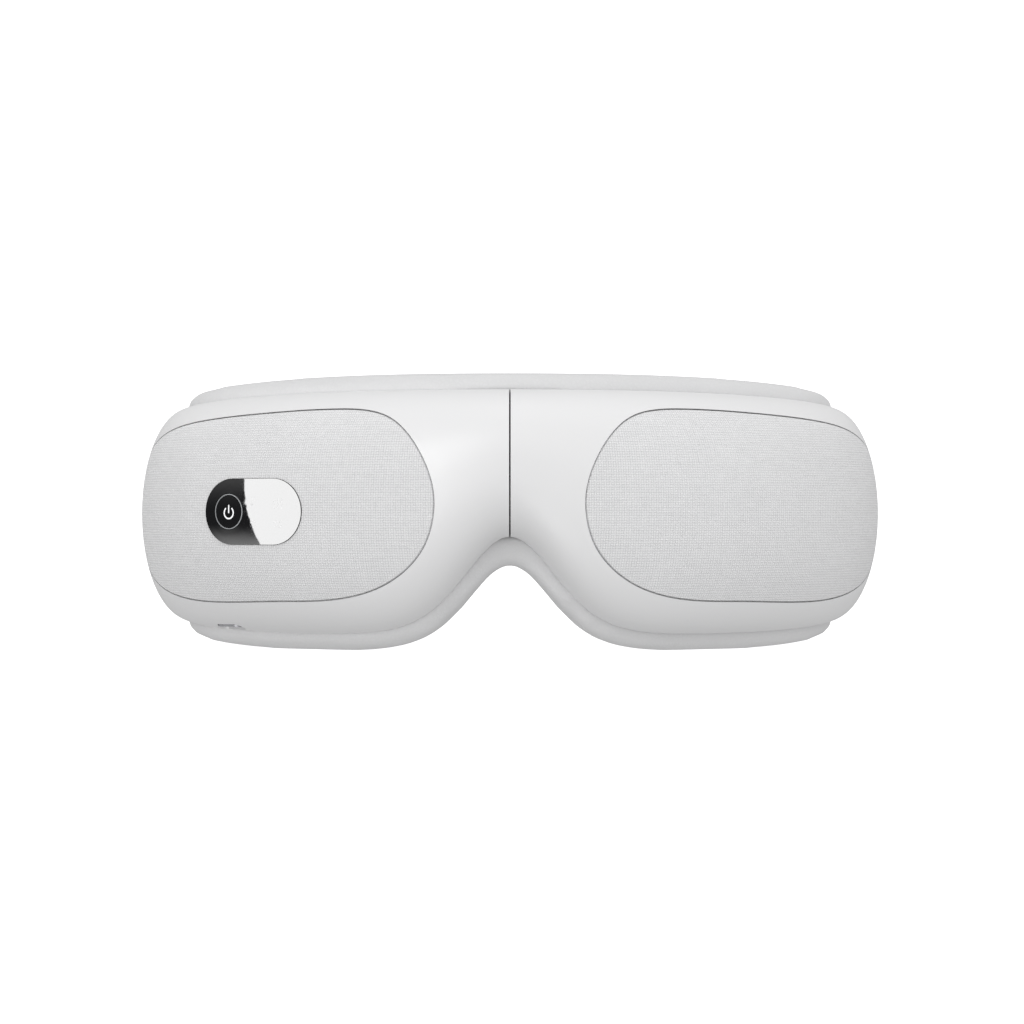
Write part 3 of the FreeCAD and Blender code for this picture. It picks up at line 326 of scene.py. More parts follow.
def rubber(name, shade):
    look = Look(name, IOR=1.42)
    look.set(Base_Color=look.mix(look.noise(0.008), lighter(shade, 0.95), shade))
    look.set(Roughness=0.55 + look.noise(0.002) * 0.12)
    return look.bump(look.noise(0.0004), 0.00001).material


def circuit(name, shade):
    """Solder mask over a faint pattern of tracks."""
    look = Look(name, Coat_Roughness=0.15, Coat_Weight=0.4)
    x, _, z = look.axes()
    tracks = (look.sin(x * (2 * math.pi / 0.0016)) * look.sin(z * (2 * math.pi / 0.0021))) > 0.35
    look.set(Base_Color=look.mix(tracks, shade, lighter(shade, 1.5)))
    look.set(Roughness=0.3 + tracks * 0.1)
    return look.bump(tracks, 0.00003).material


def foil(name, shade):
    """Thin film with darker printed tracks."""
    look = Look(name, Coat_Weight=0.5, Coat_Roughness=0.2)
    x, _, z = look.axes()
    tracks = look.sin(z * (2 * math.pi / 0.004) + look.sin(x * 420.0) * 1.2) > 0.55
    look.set(Base_Color=look.mix(tracks, shade, lighter(shade, 0.5)))
    look.set(Roughness=0.34 + tracks * 0.12)
    return look.bump(tracks, 0.00003).material


def shell_finish():
    """Satin white moulding."""
    look = Look("satin_white_shell", IOR=1.5, Coat_Roughness=0.22, Coat_Weight=0.12)
    shade = colours().shell
    cloud = look.noise(0.05, detail=1.0)
    look.set(Base_Color=look.mix(cloud, lighter(shade, 0.99), lighter(shade, 1.01)))
    look.set(Roughness=0.36 + look.noise(0.003) * 0.06)
    return look.bump(look.noise(0.00022, detail=1.0), 0.000003).material


def woven(look, across, along, pitch):
    """Height of a plain weave, 0 to 1, and where it lies lowest between the yarns."""
    warp, weft = across * (math.pi / pitch), along * (math.pi / pitch)
    over = look.smooth(look.sin(warp) * look.sin(weft), -0.25, 0.25)
    cross_warp = abs(look.sin(warp + math.pi / 2))
    cross_weft = abs(look.sin(weft + math.pi / 2))
    warp_top = (1.0 - cross_warp) ** 0.5
    weft_top = (1.0 - cross_weft) ** 0.5
    height = warp_top * over + weft_top * (1.0 - over)
    return height, over


def panel_finish():
    """Plain weave that follows the bow of the pods."""
    look = Look("woven_panel", Sheen_Weight=0.25, Sheen_Roughness=0.5, Specular_IOR_Level=0.25)
    x, y, z = look.axes()
    size = sizes()
    ahead = 1.0 - (y - FRONT_Y) / size.bow_depth
    angle = look.math("ARCTAN2", abs(x) / HALF_WIDTH, ahead)
    mean, spread = (HALF_WIDTH + size.bow_depth) / 2, (HALF_WIDTH - size.bow_depth) / 4
    along = angle * mean + look.sin(angle * 2.0) * spread
    height, over = woven(look, along, z, size.yarn_pitch)
    warp_tone = look.noise(0.0009, vector=look.stretched(along * 2.2, z * 0.25, 0.0))
    weft_tone = look.noise(0.0009, vector=look.stretched(along * 0.25, z * 2.2, 0.3))
    tone = warp_tone * over + weft_tone * (1.0 - over)
    # Painted shade: the colour darkens where the weave lies low between the yarns, mixed with the
    # yarns' own random tone.
    lit = look.clamped(height * 0.75 + tone * 0.7 - 0.15)
    body = look.mix(lit, colours().panel_gap_shade, colours().panel)
    cloud = look.noise(0.018) * 0.24
    look.set(Base_Color=look.mix(cloud, body, lighter(colours().panel, 1.04)))
    look.set(Roughness=0.82 + tone * 0.14)
    return look.bump(height + tone * 0.3, 0.00011).material


def pad_finish():
    """Soft synthetic leather: fine pebble grain, a sewn seam and its stitches."""
    look = Look("soft_pad_leather", Sheen_Weight=0.12, Sheen_Roughness=0.4, IOR=1.45)
    size = sizes()
    grain = look.smooth(look.cells(0.0011), 0.0, 0.28)
    fine = look.noise(0.0005)
    from_seam = abs(look.attribute("behind") - size.pad_seam)
    groove = 1.0 - look.smooth(from_seam, size.pad_piping * 0.3, size.pad_piping)
    stitch_line = 1.0 - look.smooth(abs(from_seam - STITCH_OFFSET), 0.00016, 0.0003)
    beat = look.sin(look.attribute("along") * (2 * math.pi / size.stitch_pitch))
    stitches = stitch_line * look.smooth(beat, -0.45, -0.2)
    body = look.mix(grain, lighter(colours().pad, 0.96), colours().pad)
    body = look.mix(look.noise(0.02), body, lighter(colours().pad, 1.04))
    # Painted shade: the sewn groove is darkened in colour, where shade falls in it.
    body = look.mix(groove * 0.75, body, colours().pad_seam_shade)
    look.set(Base_Color=look.mix(stitches * 0.6, body, colours().thread))
    look.set(Roughness=0.5 + grain * 0.08 + fine * 0.08 + groove * 0.1)
    height = grain * 0.18 + fine * 0.08 - groove * 3.6 + stitches * 1.5
    return look.bump(height, 0.00011).material


def liner_finish():
    """Fine knit with rows of small loops and a sewn ring inside its edge."""
    look = Look("knitted_liner", Sheen_Weight=0.3, Sheen_Roughness=0.45)
    across, up = look.attribute("across"), look.attribute("up")
    pitch = 0.0011
    zigzag = abs(look.sin(across * (math.pi / pitch)))
    rows = look.sin((up + zigzag * 0.0004) * (2 * math.pi / pitch))
    loops = look.smooth(rows, -0.6, 0.8)
    edge = look.attribute("from_edge")
    groove = 1.0 - look.smooth(abs(edge - LINER_SEAM), 0.0002, 0.0007)
    body = look.mix(loops, lighter(colours().liner, 0.72), lighter(colours().liner, 1.08))
    # Painted shade: the sewn ring's groove is darkened in colour, where shade falls in it.
    body = look.mix(groove * 0.6, body, lighter(colours().liner, 0.5))
    look.set(Base_Color=body)
    look.set(Roughness=0.84 + look.noise(0.003) * 0.1)
    return look.bump(loops * 0.6 - groove * 1.5, 0.00012).material


def strap_finish():
    """Woven elastic: ribs across, selvedge at the edges and sewn bars at the tails."""
    look = Look("woven_elastic_strap", Sheen_Weight=0.2, Sheen_Roughness=0.5)
    along, across = look.attribute("along"), look.attribute("across")
    half = sizes().strap_width / 2
    ribs = look.sin(along * (2 * math.pi / 0.0011))
    cords = look.sin(across * (2 * math.pi / 0.0016))
    weave = look.smooth(ribs * 0.55 + cords * 0.45, -0.7, 0.8)
    selvedge = look.smooth(abs(across), half - 0.0026, half - 0.0019)
    sewn = look.attribute("sewn")
    threads = sewn * look.smooth(look.sin(across * (2 * math.pi / 0.0012)), 0.0, 0.5)
    body = look.mix(weave, lighter(colours().strap, 0.7), lighter(colours().strap, 1.12))
    body = look.mix(selvedge * 0.5, body, lighter(colours().strap, 0.8))
    body = look.mix(threads * 0.8, body, colours().thread)
    look.set(Base_Color=body)
    look.set(Roughness=0.8 + look.noise(0.002) * 0.14)
    return look.bump(weave * 0.7 + threads * 0.6 - selvedge * 0.2, 0.00022).material


def window_finish():
    look = Look("polished_black_window", IOR=2.3)
    shade = colours().window
    look.set(Base_Color=look.mix(look.noise(0.01), shade, lighter(shade, 1.2)))
    look.set(Roughness=0.025 + look.noise(0.004) * 0.015)
    return look.bump(look.noise(0.02), 0.000004).material


def icon_finish():
    """Icons printed under the window, as glossy as it and barely lighter."""
    look = Look("faint_icon", IOR=2.3)
    shade = (0.05, 0.05, 0.052)
    look.set(Base_Color=look.mix(look.noise(0.001), shade, lighter(shade, 1.15)))
    look.set(Roughness=0.03 + look.noise(0.004) * 0.015)
    return look.bump(look.noise(0.02), 0.000004).material


def mark_with_painted_glow():
    look = Look("white_mark_painted_glow")
    look.set(Base_Color=look.mix(look.noise(0.001), lighter(colours().mark, 0.94), colours().mark))
    # Painted glow: the white mark emits a little light of its own, though it is no lamp.
    look.set(Roughness=0.45 + look.noise(0.001) * 0.1, Emission_Strength=0.25)
    look.set(Emission_Color=colours().mark)
    return look.material


def ring_painted_highlight():
    """Clear ring round the button; its light grey is a painted highlight, for the bright line at
    the button's edge.
    """
    look = Look("light_ring", IOR=1.49)
    look.set(Base_Color=look.mix(look.noise(0.001), (0.30, 0.31, 0.32), (0.33, 0.34, 0.35)))
    return look.set(Roughness=0.3 + look.noise(0.001) * 0.1).material


# Finish of each slot that the other operators leave: its maker, name, colour and the rest.
FITTINGS = {
    "frame_plastic": (moulded_plastic, "frame_white", (0.70, 0.70, 0.70), 0.5),
    "screw_steel": (metal, "plated_screw", (0.50, 0.50, 0.51), 0.35),
    "film": (foil, "heating_foil", (0.66, 0.36, 0.08)),
    "motor_steel": (metal, "drawn_steel", (0.56, 0.56, 0.57), 0.36),
    "weight_brass": (metal, "turned_brass", (0.66, 0.48, 0.22), 0.3),
    "speaker_black": (moulded_plastic, "speaker_black", (0.03, 0.03, 0.03), 0.6),
    "anchor_plastic": (moulded_plastic, "grey_nylon", (0.46, 0.46, 0.47), 0.5, 0.0004),
    "bracket_metal": (metal, "stamped_steel", (0.52, 0.52, 0.54), 0.4),
    "battery_wrap": (rubber, "battery_wrap", (0.12, 0.20, 0.38)),
    "circuit_board": (circuit, "green_board", (0.02, 0.16, 0.06)),
    "switch_black": (moulded_plastic, "switch_black", (0.04, 0.04, 0.04), 0.5),
    "led_white": (moulded_plastic, "lamp_white", (0.85, 0.85, 0.76), 0.3),
    "port_metal": (metal, "tinned_steel", (0.22, 0.22, 0.23), 0.6),
    "hose_rubber": (rubber, "inner_hose", (0.72, 0.72, 0.70)),
    "pin_steel": (metal, "ground_steel", (0.48, 0.48, 0.50), 0.25),
}


# ---- Shapes shared by the pieces -----------------------------------------------------------
def linked(name, mesh):
    piece = bpy.data.objects.new(name, mesh)
    bpy.context.scene.collection.objects.link(piece)
    return piece


def poured(name, made):
    """Piece from a bmesh, which is used up."""
    mesh = bpy.data.meshes.new(name)
    made.to_mesh(mesh)
    made.free()
    return linked(name, mesh)


def merged(name, meshes):
    made = bmesh.new()
    for mesh in meshes:
        made.from_mesh(mesh)
    return poured(name, made)


def copied(name, node):
    return merged(name, [frame["nodes"][node].data])


def built(name, points, faces):
    mesh = bpy.data.meshes.new(name)
    mesh.from_pydata([tuple(p) for p in points], [], faces)
    mesh.validate()
    return linked(name, mesh)


def settle(piece):
    """Bake the piece's modifiers into its mesh."""
    graph = bpy.context.evaluated_depsgraph_get()
    piece.data = bpy.data.meshes.new_from_object(piece.evaluated_get(graph))
    piece.modifiers.clear()
    return piece


def modify(piece, kind, **settings):
    modifier = piece.modifiers.new(kind.lower(), kind)
    for name, value in settings.items():
        setattr(modifier, name, value)
    return settle(piece)


def places(piece):
    points = np.zeros(len(piece.data.vertices) * 3)
    piece.data.vertices.foreach_get("co", points)
    return points.reshape(-1, 3)


def put(piece, points):
    piece.data.vertices.foreach_set("co", points.ravel())
    piece.data.update()


def smooth_shaded(piece):
    piece.data.shade_smooth()
    return piece


def finish(piece, material, slot):
    piece.data.materials.clear()
    piece.data.materials.append(material)
    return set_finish(piece, slot)


def mark(piece, name, values):
    """Give every vertex a number that the finish reads."""
    attribute = piece.data.attributes.new(name, "FLOAT", "POINT")
    attribute.data.foreach_set("value", np.asarray(values, np.float32))


def front_curve(angle):
    """Plan of the front at an angle: place, and the unit vector pointing inwards."""
    bow = sizes().bow_depth
    x, y = HALF_WIDTH * np.sin(angle), FRONT_Y + bow * (1 - np.cos(angle))
    nx, ny = -bow * np.sin(angle), HALF_WIDTH * np.cos(angle)
    long = np.hypot(nx, ny)
    return x, y, nx / long, ny / long


def pod_places(x, y):
    """Plan angle and depth behind the front of points on the +X side."""
    bow = sizes().bow_depth
    angle = np.arctan2(x / HALF_WIDTH, 1 - (y - FRONT_Y) / bow).clip(0, math.pi / 2)
    for _ in range(14):
        cx, cy, nx, ny = front_curve(angle)
        speed = np.hypot(HALF_WIDTH * np.cos(angle), bow * np.sin(angle))
        angle = (angle + ((x - cx) * ny - (y - cy) * nx) / speed).clip(0, math.pi / 2)
    cx, cy, nx, ny = front_curve(angle)
    return angle, (x - cx) * nx + (y - cy) * ny


def rim_depth(angle):
    size = sizes()
    taper = (size.centre_depth - size.temple_depth) * np.cos(angle) ** 2
    return size.temple_depth + taper + size.belly_depth * np.sin(2 * angle) ** 2


def run_length(angle):
    """Distance along the front from the fold line."""
    bow = sizes().bow_depth
    return (HALF_WIDTH + bow) / 2 * angle + (HALF_WIDTH - bow) / 4 * np.sin(2 * angle)


def swell(piece, pressure, held, most):
    """Let air pressure round the skin out, holding some points and capping the rest."""
    before = places(piece)
    group = piece.vertex_groups.new(name="held")
    group.add(np.flatnonzero(held).tolist(), 1.0, "REPLACE")
    cloth = piece.modifiers.new("swell", "CLOTH")
    cloth.settings.use_pressure = True
    cloth.settings.uniform_pressure_force = pressure
    cloth.settings.vertex_group_mass = group.name
    cloth.settings.effector_weights.gravity = 0.0
    cloth.settings.quality = 4
    scene = bpy.context.scene
    for step in range(1, 21):
        scene.frame_set(step)
    graph = bpy.context.evaluated_depsgraph_get()
    after = np.array([v.co for v in piece.evaluated_get(graph).data.vertices])
    piece.modifiers.clear()
    piece.vertex_groups.clear()
    scene.frame_set(1)
    moved = after - before
    far = np.linalg.norm(moved, axis=1, keepdims=True)
    put(piece, before + moved * np.minimum(1.0, most / np.maximum(far, 1e-9)))
    return piece


# ---- Operators -----------------------------------------------------------------------------
class MaskOperator:
    """Settings that every operator shares."""

    bl_options = {"REGISTER", "UNDO"}


class MASK_OT_stage(MaskOperator, bpy.types.Operator):
    """Camera, pale floor and soft studio lights"""

    bl_idname = "mask.stage"
    bl_label = "Stage"

    def execute(self, context):
        self.camera(context.scene)
        self.bowl()
        self.sky(context.scene)
        self.cards()
        self.lamp("top_softbox", (0.0, -0.30, 0.90), (0.0, 0.0, 0.04), (1.1, 0.8), 1.4)
        self.lamp("front_softbox", (0.0, -1.25, 0.55), (0.0, 0.0, 0.04), (1.4, 0.8), 2.7)
        return {"FINISHED"}

    def camera(self, scene):
        camera = bpy.data.objects.new("camera", bpy.data.cameras.new("camera"))
        camera.data.lens = 100.0
        camera.location = (0.00054, -0.7640, 0.0361)
        camera.rotation_euler = (math.pi / 2, 0.0, 0.0)
        scene.collection.objects.link(camera)
        scene.camera = camera

    def bowl(self):
        """Round floor that curves up into a plain pale wall on every side."""
        reach, bend, rise, steps = 2.0, 0.6, 2.0, 64
        profile = [(0.3, 0.0), (0.8, 0.0), (reach - bend, 0.0)]
        for i in range(1, 13):
            turn = math.pi / 2 * i / 12
            profile.append((reach - bend + bend * math.sin(turn), bend * (1 - math.cos(turn))))
        profile.append((reach, rise))
        points = [(0.0, 0.0, 0.0)]
        for radius, height in profile:
            for k in range(steps):
                turn = 2 * math.pi * k / steps
                points.append((radius * math.cos(turn), radius * math.sin(turn), height))
        faces = [(0, 1 + k, 1 + (k + 1) % steps) for k in range(steps)]
        for ring in range(len(profile) - 1):
            first = 1 + ring * steps
            for k in range(steps):
                j = (k + 1) % steps
                faces.append((first + k, first + steps + k, first + steps + j, first + j))
        floor = smooth_shaded(built("floor", points, faces))
        look = Look("pale_floor", roughness=0.8, Emission_Strength=0.8)
        shade = colours().floor
        look.set(Base_Color=look.mix(look.noise(0.2), lighter(shade, 0.99), shade))
        look.set(Emission_Color=(1.0, 1.0, 1.0))
        floor.data.materials.append(look.material)
        floor.visible_diffuse = False
        floor.visible_glossy = False
        floor.visible_shadow = False

    def cards(self):
        """White softbox face that the window mirrors, and the dark card beside it."""
        middle = Vector((-0.60, -0.42, 0.0))
        along = Vector((-0.503, 0.864, 0.0))
        levels = [-0.45 + 0.05 * i for i in range(20)]
        edges = [0.130 + 0.28 * (z - 0.008) for z in levels]
        white = Look("softbox_face", Emission_Strength=5.0, Emission_Color=(1.0, 1.0, 1.0))
        dark = Look("dark_card", Emission_Strength=1.3, Base_Color=(0.0, 0.0, 0.0))
        dark.set(Emission_Color=dark.grey(self.dusk(dark)))
        near = [(-0.55, edge, z) for edge, z in zip(edges, levels)]
        far = [(edge, 0.85, z) for edge, z in zip(edges, levels)]
        self.card(white, middle, along, near)
        self.card(dark, middle, along, far)

    def dusk(self, look):
        """Black in the middle, lifting gently above and more below."""
        z = look.axes()[2]
        return look.smooth(z, 0.04, 0.30) * 0.28 + 0.01 + (1.0 - look.smooth(z, -0.14, 0.0)) * 0.9

    def card(self, look, middle, along, rows):
        """Upright card seen only in reflections, from the two ends of each of its rows."""
        points, faces = [], []
        for near, far, z in rows:
            for share in (near, far):
                spot = middle + along * share
                points.append((spot.x, spot.y, z))
        for i in range(len(rows) - 1):
            faces.append((2 * i, 2 * i + 1, 2 * i + 3, 2 * i + 2))
        card = built(look.material.name, points, faces)
        card.data.materials.append(look.material)
        card.visible_camera = False
        card.visible_diffuse = False
        card.visible_shadow = False

    def sky(self, scene):
        """Soft light from all round, more from above and in front."""
        scene.view_settings.view_transform = "Standard"
        scene.world = scene.world or bpy.data.worlds.new("world")
        scene.world.use_nodes = True
        sky = Nodes(scene.world.node_tree)
        _, y, z = sky.axes("Generated")
        background = sky.tree.nodes["Background"]
        background.inputs["Strength"].default_value = 1.0
        sky.feed(background.inputs["Color"], sky.grey(0.655 + z * 0.13 - y * 0.165))

    def lamp(self, name, place, aim, size, power):
        light = bpy.data.lights.new(name, "AREA")
        light.shape = "RECTANGLE"
        light.size, light.size_y = size
        light.energy = power
        lamp = bpy.data.objects.new(name, light)
        lamp.location = place
        lamp.rotation_euler = (Vector(aim) - Vector(place)).to_track_quat("-Z", "Y").to_euler()
        bpy.context.scene.collection.objects.link(lamp)
        return lamp


class MASK_OT_shells(MaskOperator, bpy.types.Operator):
    """Satin white finish on the two front shells"""

    bl_idname = "mask.shells"
    bl_label = "Front shells"

    def execute(self, context):
        material = shell_finish()
        for side in ("left", "right"):
            shell = frame["nodes"][side + "_front_shell"]
            finish(shell, material, "shell_white")
        return {"FINISHED"}


class MASK_OT_fabric_panels(MaskOperator, bpy.types.Operator):
    """Woven panels let into the front of each pod"""

    bl_idname = "mask.fabric_panels"
    bl_label = "Fabric panels"

    def execute(self, context):
        material = panel_finish()
        for side in ("left", "right"):
            node = side + "_fabric_panel"
            panel = copied(side + "_woven_panel", node)
            modify(
                panel, "BEVEL", width=sizes().panel_edge, segments=2, limit_method="ANGLE",
                angle_limit=math.radians(50), miter_outer="MITER_ARC",
            )
            finish(smooth_shaded(panel), material, "panel_fabric")
            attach(panel, side + "_half")
            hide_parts(node)
        return {"FINISHED"}


class MASK_OT_face_pad(MaskOperator, bpy.types.Operator):
    """One soft pad round the face, across the nose, where the mask folds"""

    bl_idname = "mask.face_pad"
    bl_label = "Face pad"

    def execute(self, context):
        nodes = ("left_face_pad", "nose_pad", "right_face_pad")
        nose = copied("nose_middle", "nose_pad")
        points = places(nose)
        outer = np.abs(points[:, 0]) > NOSE_END
        points[outer, 0] += np.sign(points[outer, 0]) * NOSE_OVERLAP
        put(nose, points)
        sides = [frame["nodes"][node].data for node in (nodes[0], nodes[2])]
        pad = merged("face_pad", [nose.data, *sides])
        bpy.data.objects.remove(nose)
        modify(pad, "REMESH", mode="VOXEL", voxel_size=sizes().pad_voxel)
        modify(pad, "SMOOTH", factor=0.5, iterations=5)
        self.round_out(pad)
        modify(pad, "SUBSURF", levels=1)
        self.measure(pad)
        finish(smooth_shaded(pad), pad_finish(), "pad_leather")
        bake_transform(pad)
        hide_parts(*nodes)
        return {"FINISHED"}

    def depths(self, points):
        """Plan angle and depth behind the parting line."""
        angle, depth = pod_places(np.abs(points[:, 0]), points[:, 1])
        return angle, depth - rim_depth(angle)

    def round_out(self, pad):
        start = places(pad)
        _, behind = self.depths(start)
        held = (behind < HELD_BEHIND) | (np.abs(start[:, 0]) < HELD_NOSE)
        swell(pad, 4.0, held, sizes().pad_swell)
        points = places(pad)
        points[:, 2] = np.maximum(points[:, 2], 0.0)
        put(pad, points)

    def measure(self, pad):
        angle, behind = self.depths(places(pad))
        mark(pad, "behind", behind)
        mark(pad, "along", run_length(angle))


class MASK_OT_eye_cushions(MaskOperator, bpy.types.Operator):
    """Knitted liners over the eyes, with the air cushions behind them"""

    bl_idname = "mask.eye_cushions"
    bl_label = "Eye cushions"
    rings = 14
    spokes = 96

    def execute(self, context):
        liner_look = liner_finish()
        bag_look = rubber("air_cushion_film", (0.62, 0.65, 0.68))
        for side, sign in (("left", -1.0), ("right", 1.0)):
            liner = self.liner(side, sign)
            finish(smooth_shaded(liner), liner_look, "liner_fabric")
            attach(liner, side + "_half")
            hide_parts(side + "_eye_liner")
            bag = copied(side + "_air_cushion", side + "_eye_airbag")
            modify(bag, "REMESH", mode="VOXEL", voxel_size=BAG_VOXEL)
            modify(bag, "SMOOTH", factor=0.5, iterations=3)
            finish(smooth_shaded(bag), bag_look, "airbag")
            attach(bag, side + "_half")
            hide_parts(side + "_eye_airbag")
        return {"FINISHED"}

    def outline(self):
        """Rounded rectangle of the eye opening, as directions round its middle."""
        size = sizes()
        half_x, half_z, corner = size.eye_length / 2, size.eye_height / 2, size.eye_corner
        places_round = []
        for i in range(self.spokes):
            turn = 2 * math.pi * i / self.spokes
            cx, cz = math.cos(turn), math.sin(turn)
            low, high = 0.0, 0.05
            for _ in range(30):
                middle = (low + high) / 2
                ax, az = abs(cx) * middle, abs(cz) * middle
                over = math.hypot(max(ax - half_x + corner, 0), max(az - half_z + corner, 0))
                inside = over < corner and ax < half_x and az < half_z
                low, high = (middle, high) if inside else (low, middle)
            places_round.append((cx * low, cz * low))
        return np.array(places_round)

    def liner(self, side, sign):
        size = sizes()
        edge = self.outline()
        shares = [math.sin(math.pi / 2 * r / self.rings) for r in range(1, self.rings + 1)]
        flat = np.vstack([[[0.0, 0.0]], *[edge * share for share in shares]])
        share = np.concatenate([[0.0], np.repeat(shares, self.spokes)])
        rim_gap = np.linalg.norm(edge, axis=1)
        gap = np.concatenate([[rim_gap.min()], *[rim_gap * (1 - s) for s in shares]])
        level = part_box(side + "_face_pad")[1].z / 2
        along = np.array([-math.sin(size.eye_turn), math.cos(size.eye_turn)])
        across = np.array([math.cos(size.eye_turn), math.sin(size.eye_turn)])
        start = np.array([0.0, FRONT_Y]) + across * size.eye_middle
        crown = size.liner_crown * (1 - share ** 2) ** 0.8
        sunk = 0.0006 * np.exp(-(((gap - LINER_SEAM) / 0.0009) ** 2))
        layers = []
        for extra in (crown + size.liner_thickness - sunk, 0.0):
            target = size.liner_depth + extra
            reach = np.full(len(flat), 0.02)
            for _ in range(12):
                plan = start + flat[:, :1] * across + reach[:, None] * along
                angle, depth = pod_places(plan[:, 0], plan[:, 1])
                reach = reach + (target - (depth - rim_depth(angle)))
            plan = start + flat[:, :1] * across + reach[:, None] * along
            layers.append(np.column_stack([plan[:, 0] * sign, plan[:, 1], flat[:, 1] + level]))
        count = len(flat)
        faces = []
        for base, turn in ((0, 1), (count, -1)):
            for r in range(self.rings):
                for i in range(self.spokes):
                    j = (i + 1) % self.spokes
                    outer = base + 1 + r * self.spokes
                    inner = outer - self.spokes
                    ring = (outer + i, outer + j, inner + j, inner + i)
                    if r == 0:
                        ring = (outer + i, outer + j, base)
                    faces.append(ring[:: int(turn * sign)])
        last = 1 + (self.rings - 1) * self.spokes
        for i in range(self.spokes):
            j = (i + 1) % self.spokes
            side_face = (last + j, last + i, count + last + i, count + last + j)
            faces.append(side_face[:: int(sign)])
        liner = built(side + "_liner", np.vstack(layers), faces)
        mark(liner, "across", np.tile(flat[:, 0], 2))
        mark(liner, "up", np.tile(flat[:, 1], 2))
        mark(liner, "from_edge", np.tile(gap, 2))
        return liner


class MASK_OT_control_window(MaskOperator, bpy.types.Operator):
    """Polished window with its round button, light ring, power mark and icons"""

    bl_idname = "mask.control_window"
    bl_label = "Control window"

    def execute(self, context):
        glossy = window_finish()
        marks = mark_with_painted_glow()
        faint = icon_finish()
        finish(frame["nodes"]["control_lens"], glossy, "lens_gloss")
        finish(frame["nodes"]["power_button"], glossy, "lens_gloss")
        finish(frame["nodes"]["light_ring"], ring_painted_highlight(), "ring_light")
        self.skin = {}
        for node in ("control_lens", "power_button"):
            made = bmesh.new()
            made.from_mesh(frame["nodes"][node].data)
            self.skin[node] = BVHTree.FromBMesh(made)
            made.free()
        thick = sizes().mark_width
        thin = sizes().icon_width
        offset = sizes().button_offset
        ring = self.arc(offset - 0.0001, -0.0003, 0.0015, 128, 412)
        bar = [(offset - 0.0001, 0.0017), (offset - 0.0001, -0.0004)]
        power = self.inlay("power_mark", [ring, bar], thick, "power_button")
        finish(power, marks, "ring_light")
        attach(power, "power_button")
        icons = [
            self.inlay("tune_icon", self.tune(-0.0006, 0.0025), thin, "control_lens"),
            self.inlay("heat_icon", self.waves(-0.0084, 0.0021, 3, True), thin, "control_lens"),
            self.inlay("air_icon", self.cycle(-0.0009, -0.0033), thin, "control_lens"),
            self.inlay("pulse_icon", self.waves(-0.0084, -0.0031, 2, False), thin, "control_lens"),
        ]
        for icon in icons:
            finish(icon, faint, "lens_gloss")
            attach(icon, "left_half")
        return {"FINISHED"}

    def arc(self, across, up, radius, start, end):
        turns = [math.radians(start + (end - start) * i / 28) for i in range(29)]
        return [(across + radius * math.cos(t), up + radius * math.sin(t)) for t in turns]

    def tune(self, across, up):
        """A note: round head, stem and flag."""
        head = self.arc(across + 0.0004, up - 0.0009, 0.0004, 0, 350)
        stem = [(across, up - 0.0009), (across, up + 0.0012)]
        tip = (across - 0.0008, up + 0.0002)
        flag = [(across, up + 0.0012), (across - 0.0006, up + 0.0008), tip]
        return [head, stem, flag]

    def cycle(self, across, up):
        """Two half rings chasing each other."""
        return [self.arc(across, up, 0.0009, 20, 160), self.arc(across, up, 0.0009, 200, 340)]

    def waves(self, across, up, count, upright):
        """Side by side wavy lines."""
        lines = []
        for k in range(count):
            shift = (k - (count - 1) / 2) * 0.0011
            line = []
            for i in range(25):
                run = (i / 24 - 0.5) * 0.0026
                sway = 0.0002 * math.sin(2 * math.pi * i / 12)
                step = (shift + sway, run) if upright else (run, shift + sway)
                line.append((across + step[0], up + step[1]))
            lines.append(line)
        return lines

    def inlay(self, name, strokes, width, node):
        """Thin raised strokes laid on a polished piece."""
        angle = sizes().window_angle
        x, y, nx, ny = (float(v) for v in front_curve(angle))
        low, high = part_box("control_lens")
        level = (low.z + high.z) / 2
        inward = Vector((-nx, ny, 0.0))
        made = bmesh.new()
        for stroke in strokes:
            self.stroke(made, stroke, width, (x, y, nx, ny, level), inward, node)
        return poured(name, made)

    def stroke(self, made, line, width, spot, inward, node):
        x, y, nx, ny, level = spot
        section = ((0.0, 1.0), (PRINT_RISE, 0.8), (PRINT_RISE, -0.8), (0.0, -1.0))
        line = [Vector(p) for p in line]
        if len(line) == 2:
            line = [line[0].lerp(line[1], i / 6) for i in range(7)]
        rows = []
        for i, point in enumerate(line):
            way = (line[min(i + 1, len(line) - 1)] - line[max(i - 1, 0)]).normalized()
            side = Vector((-way.y, way.x)) * width / 2
            row = []
            for rise, share in section:
                across, up = point + side * share
                start = Vector((-(x + ny * across), y - nx * across, level + up)) - inward * 0.01
                hit = self.skin[node].ray_cast(start, inward)[0]
                if hit is None:
                    raise RuntimeError("a stroke misses " + node)
                row.append(made.verts.new(hit - inward * (rise - PRINT_SINK)))
            rows.append(row)
        for a, b in zip(rows, rows[1:]):
            for k in range(3):
                made.faces.new((a[k], a[k + 1], b[k + 1], b[k]))


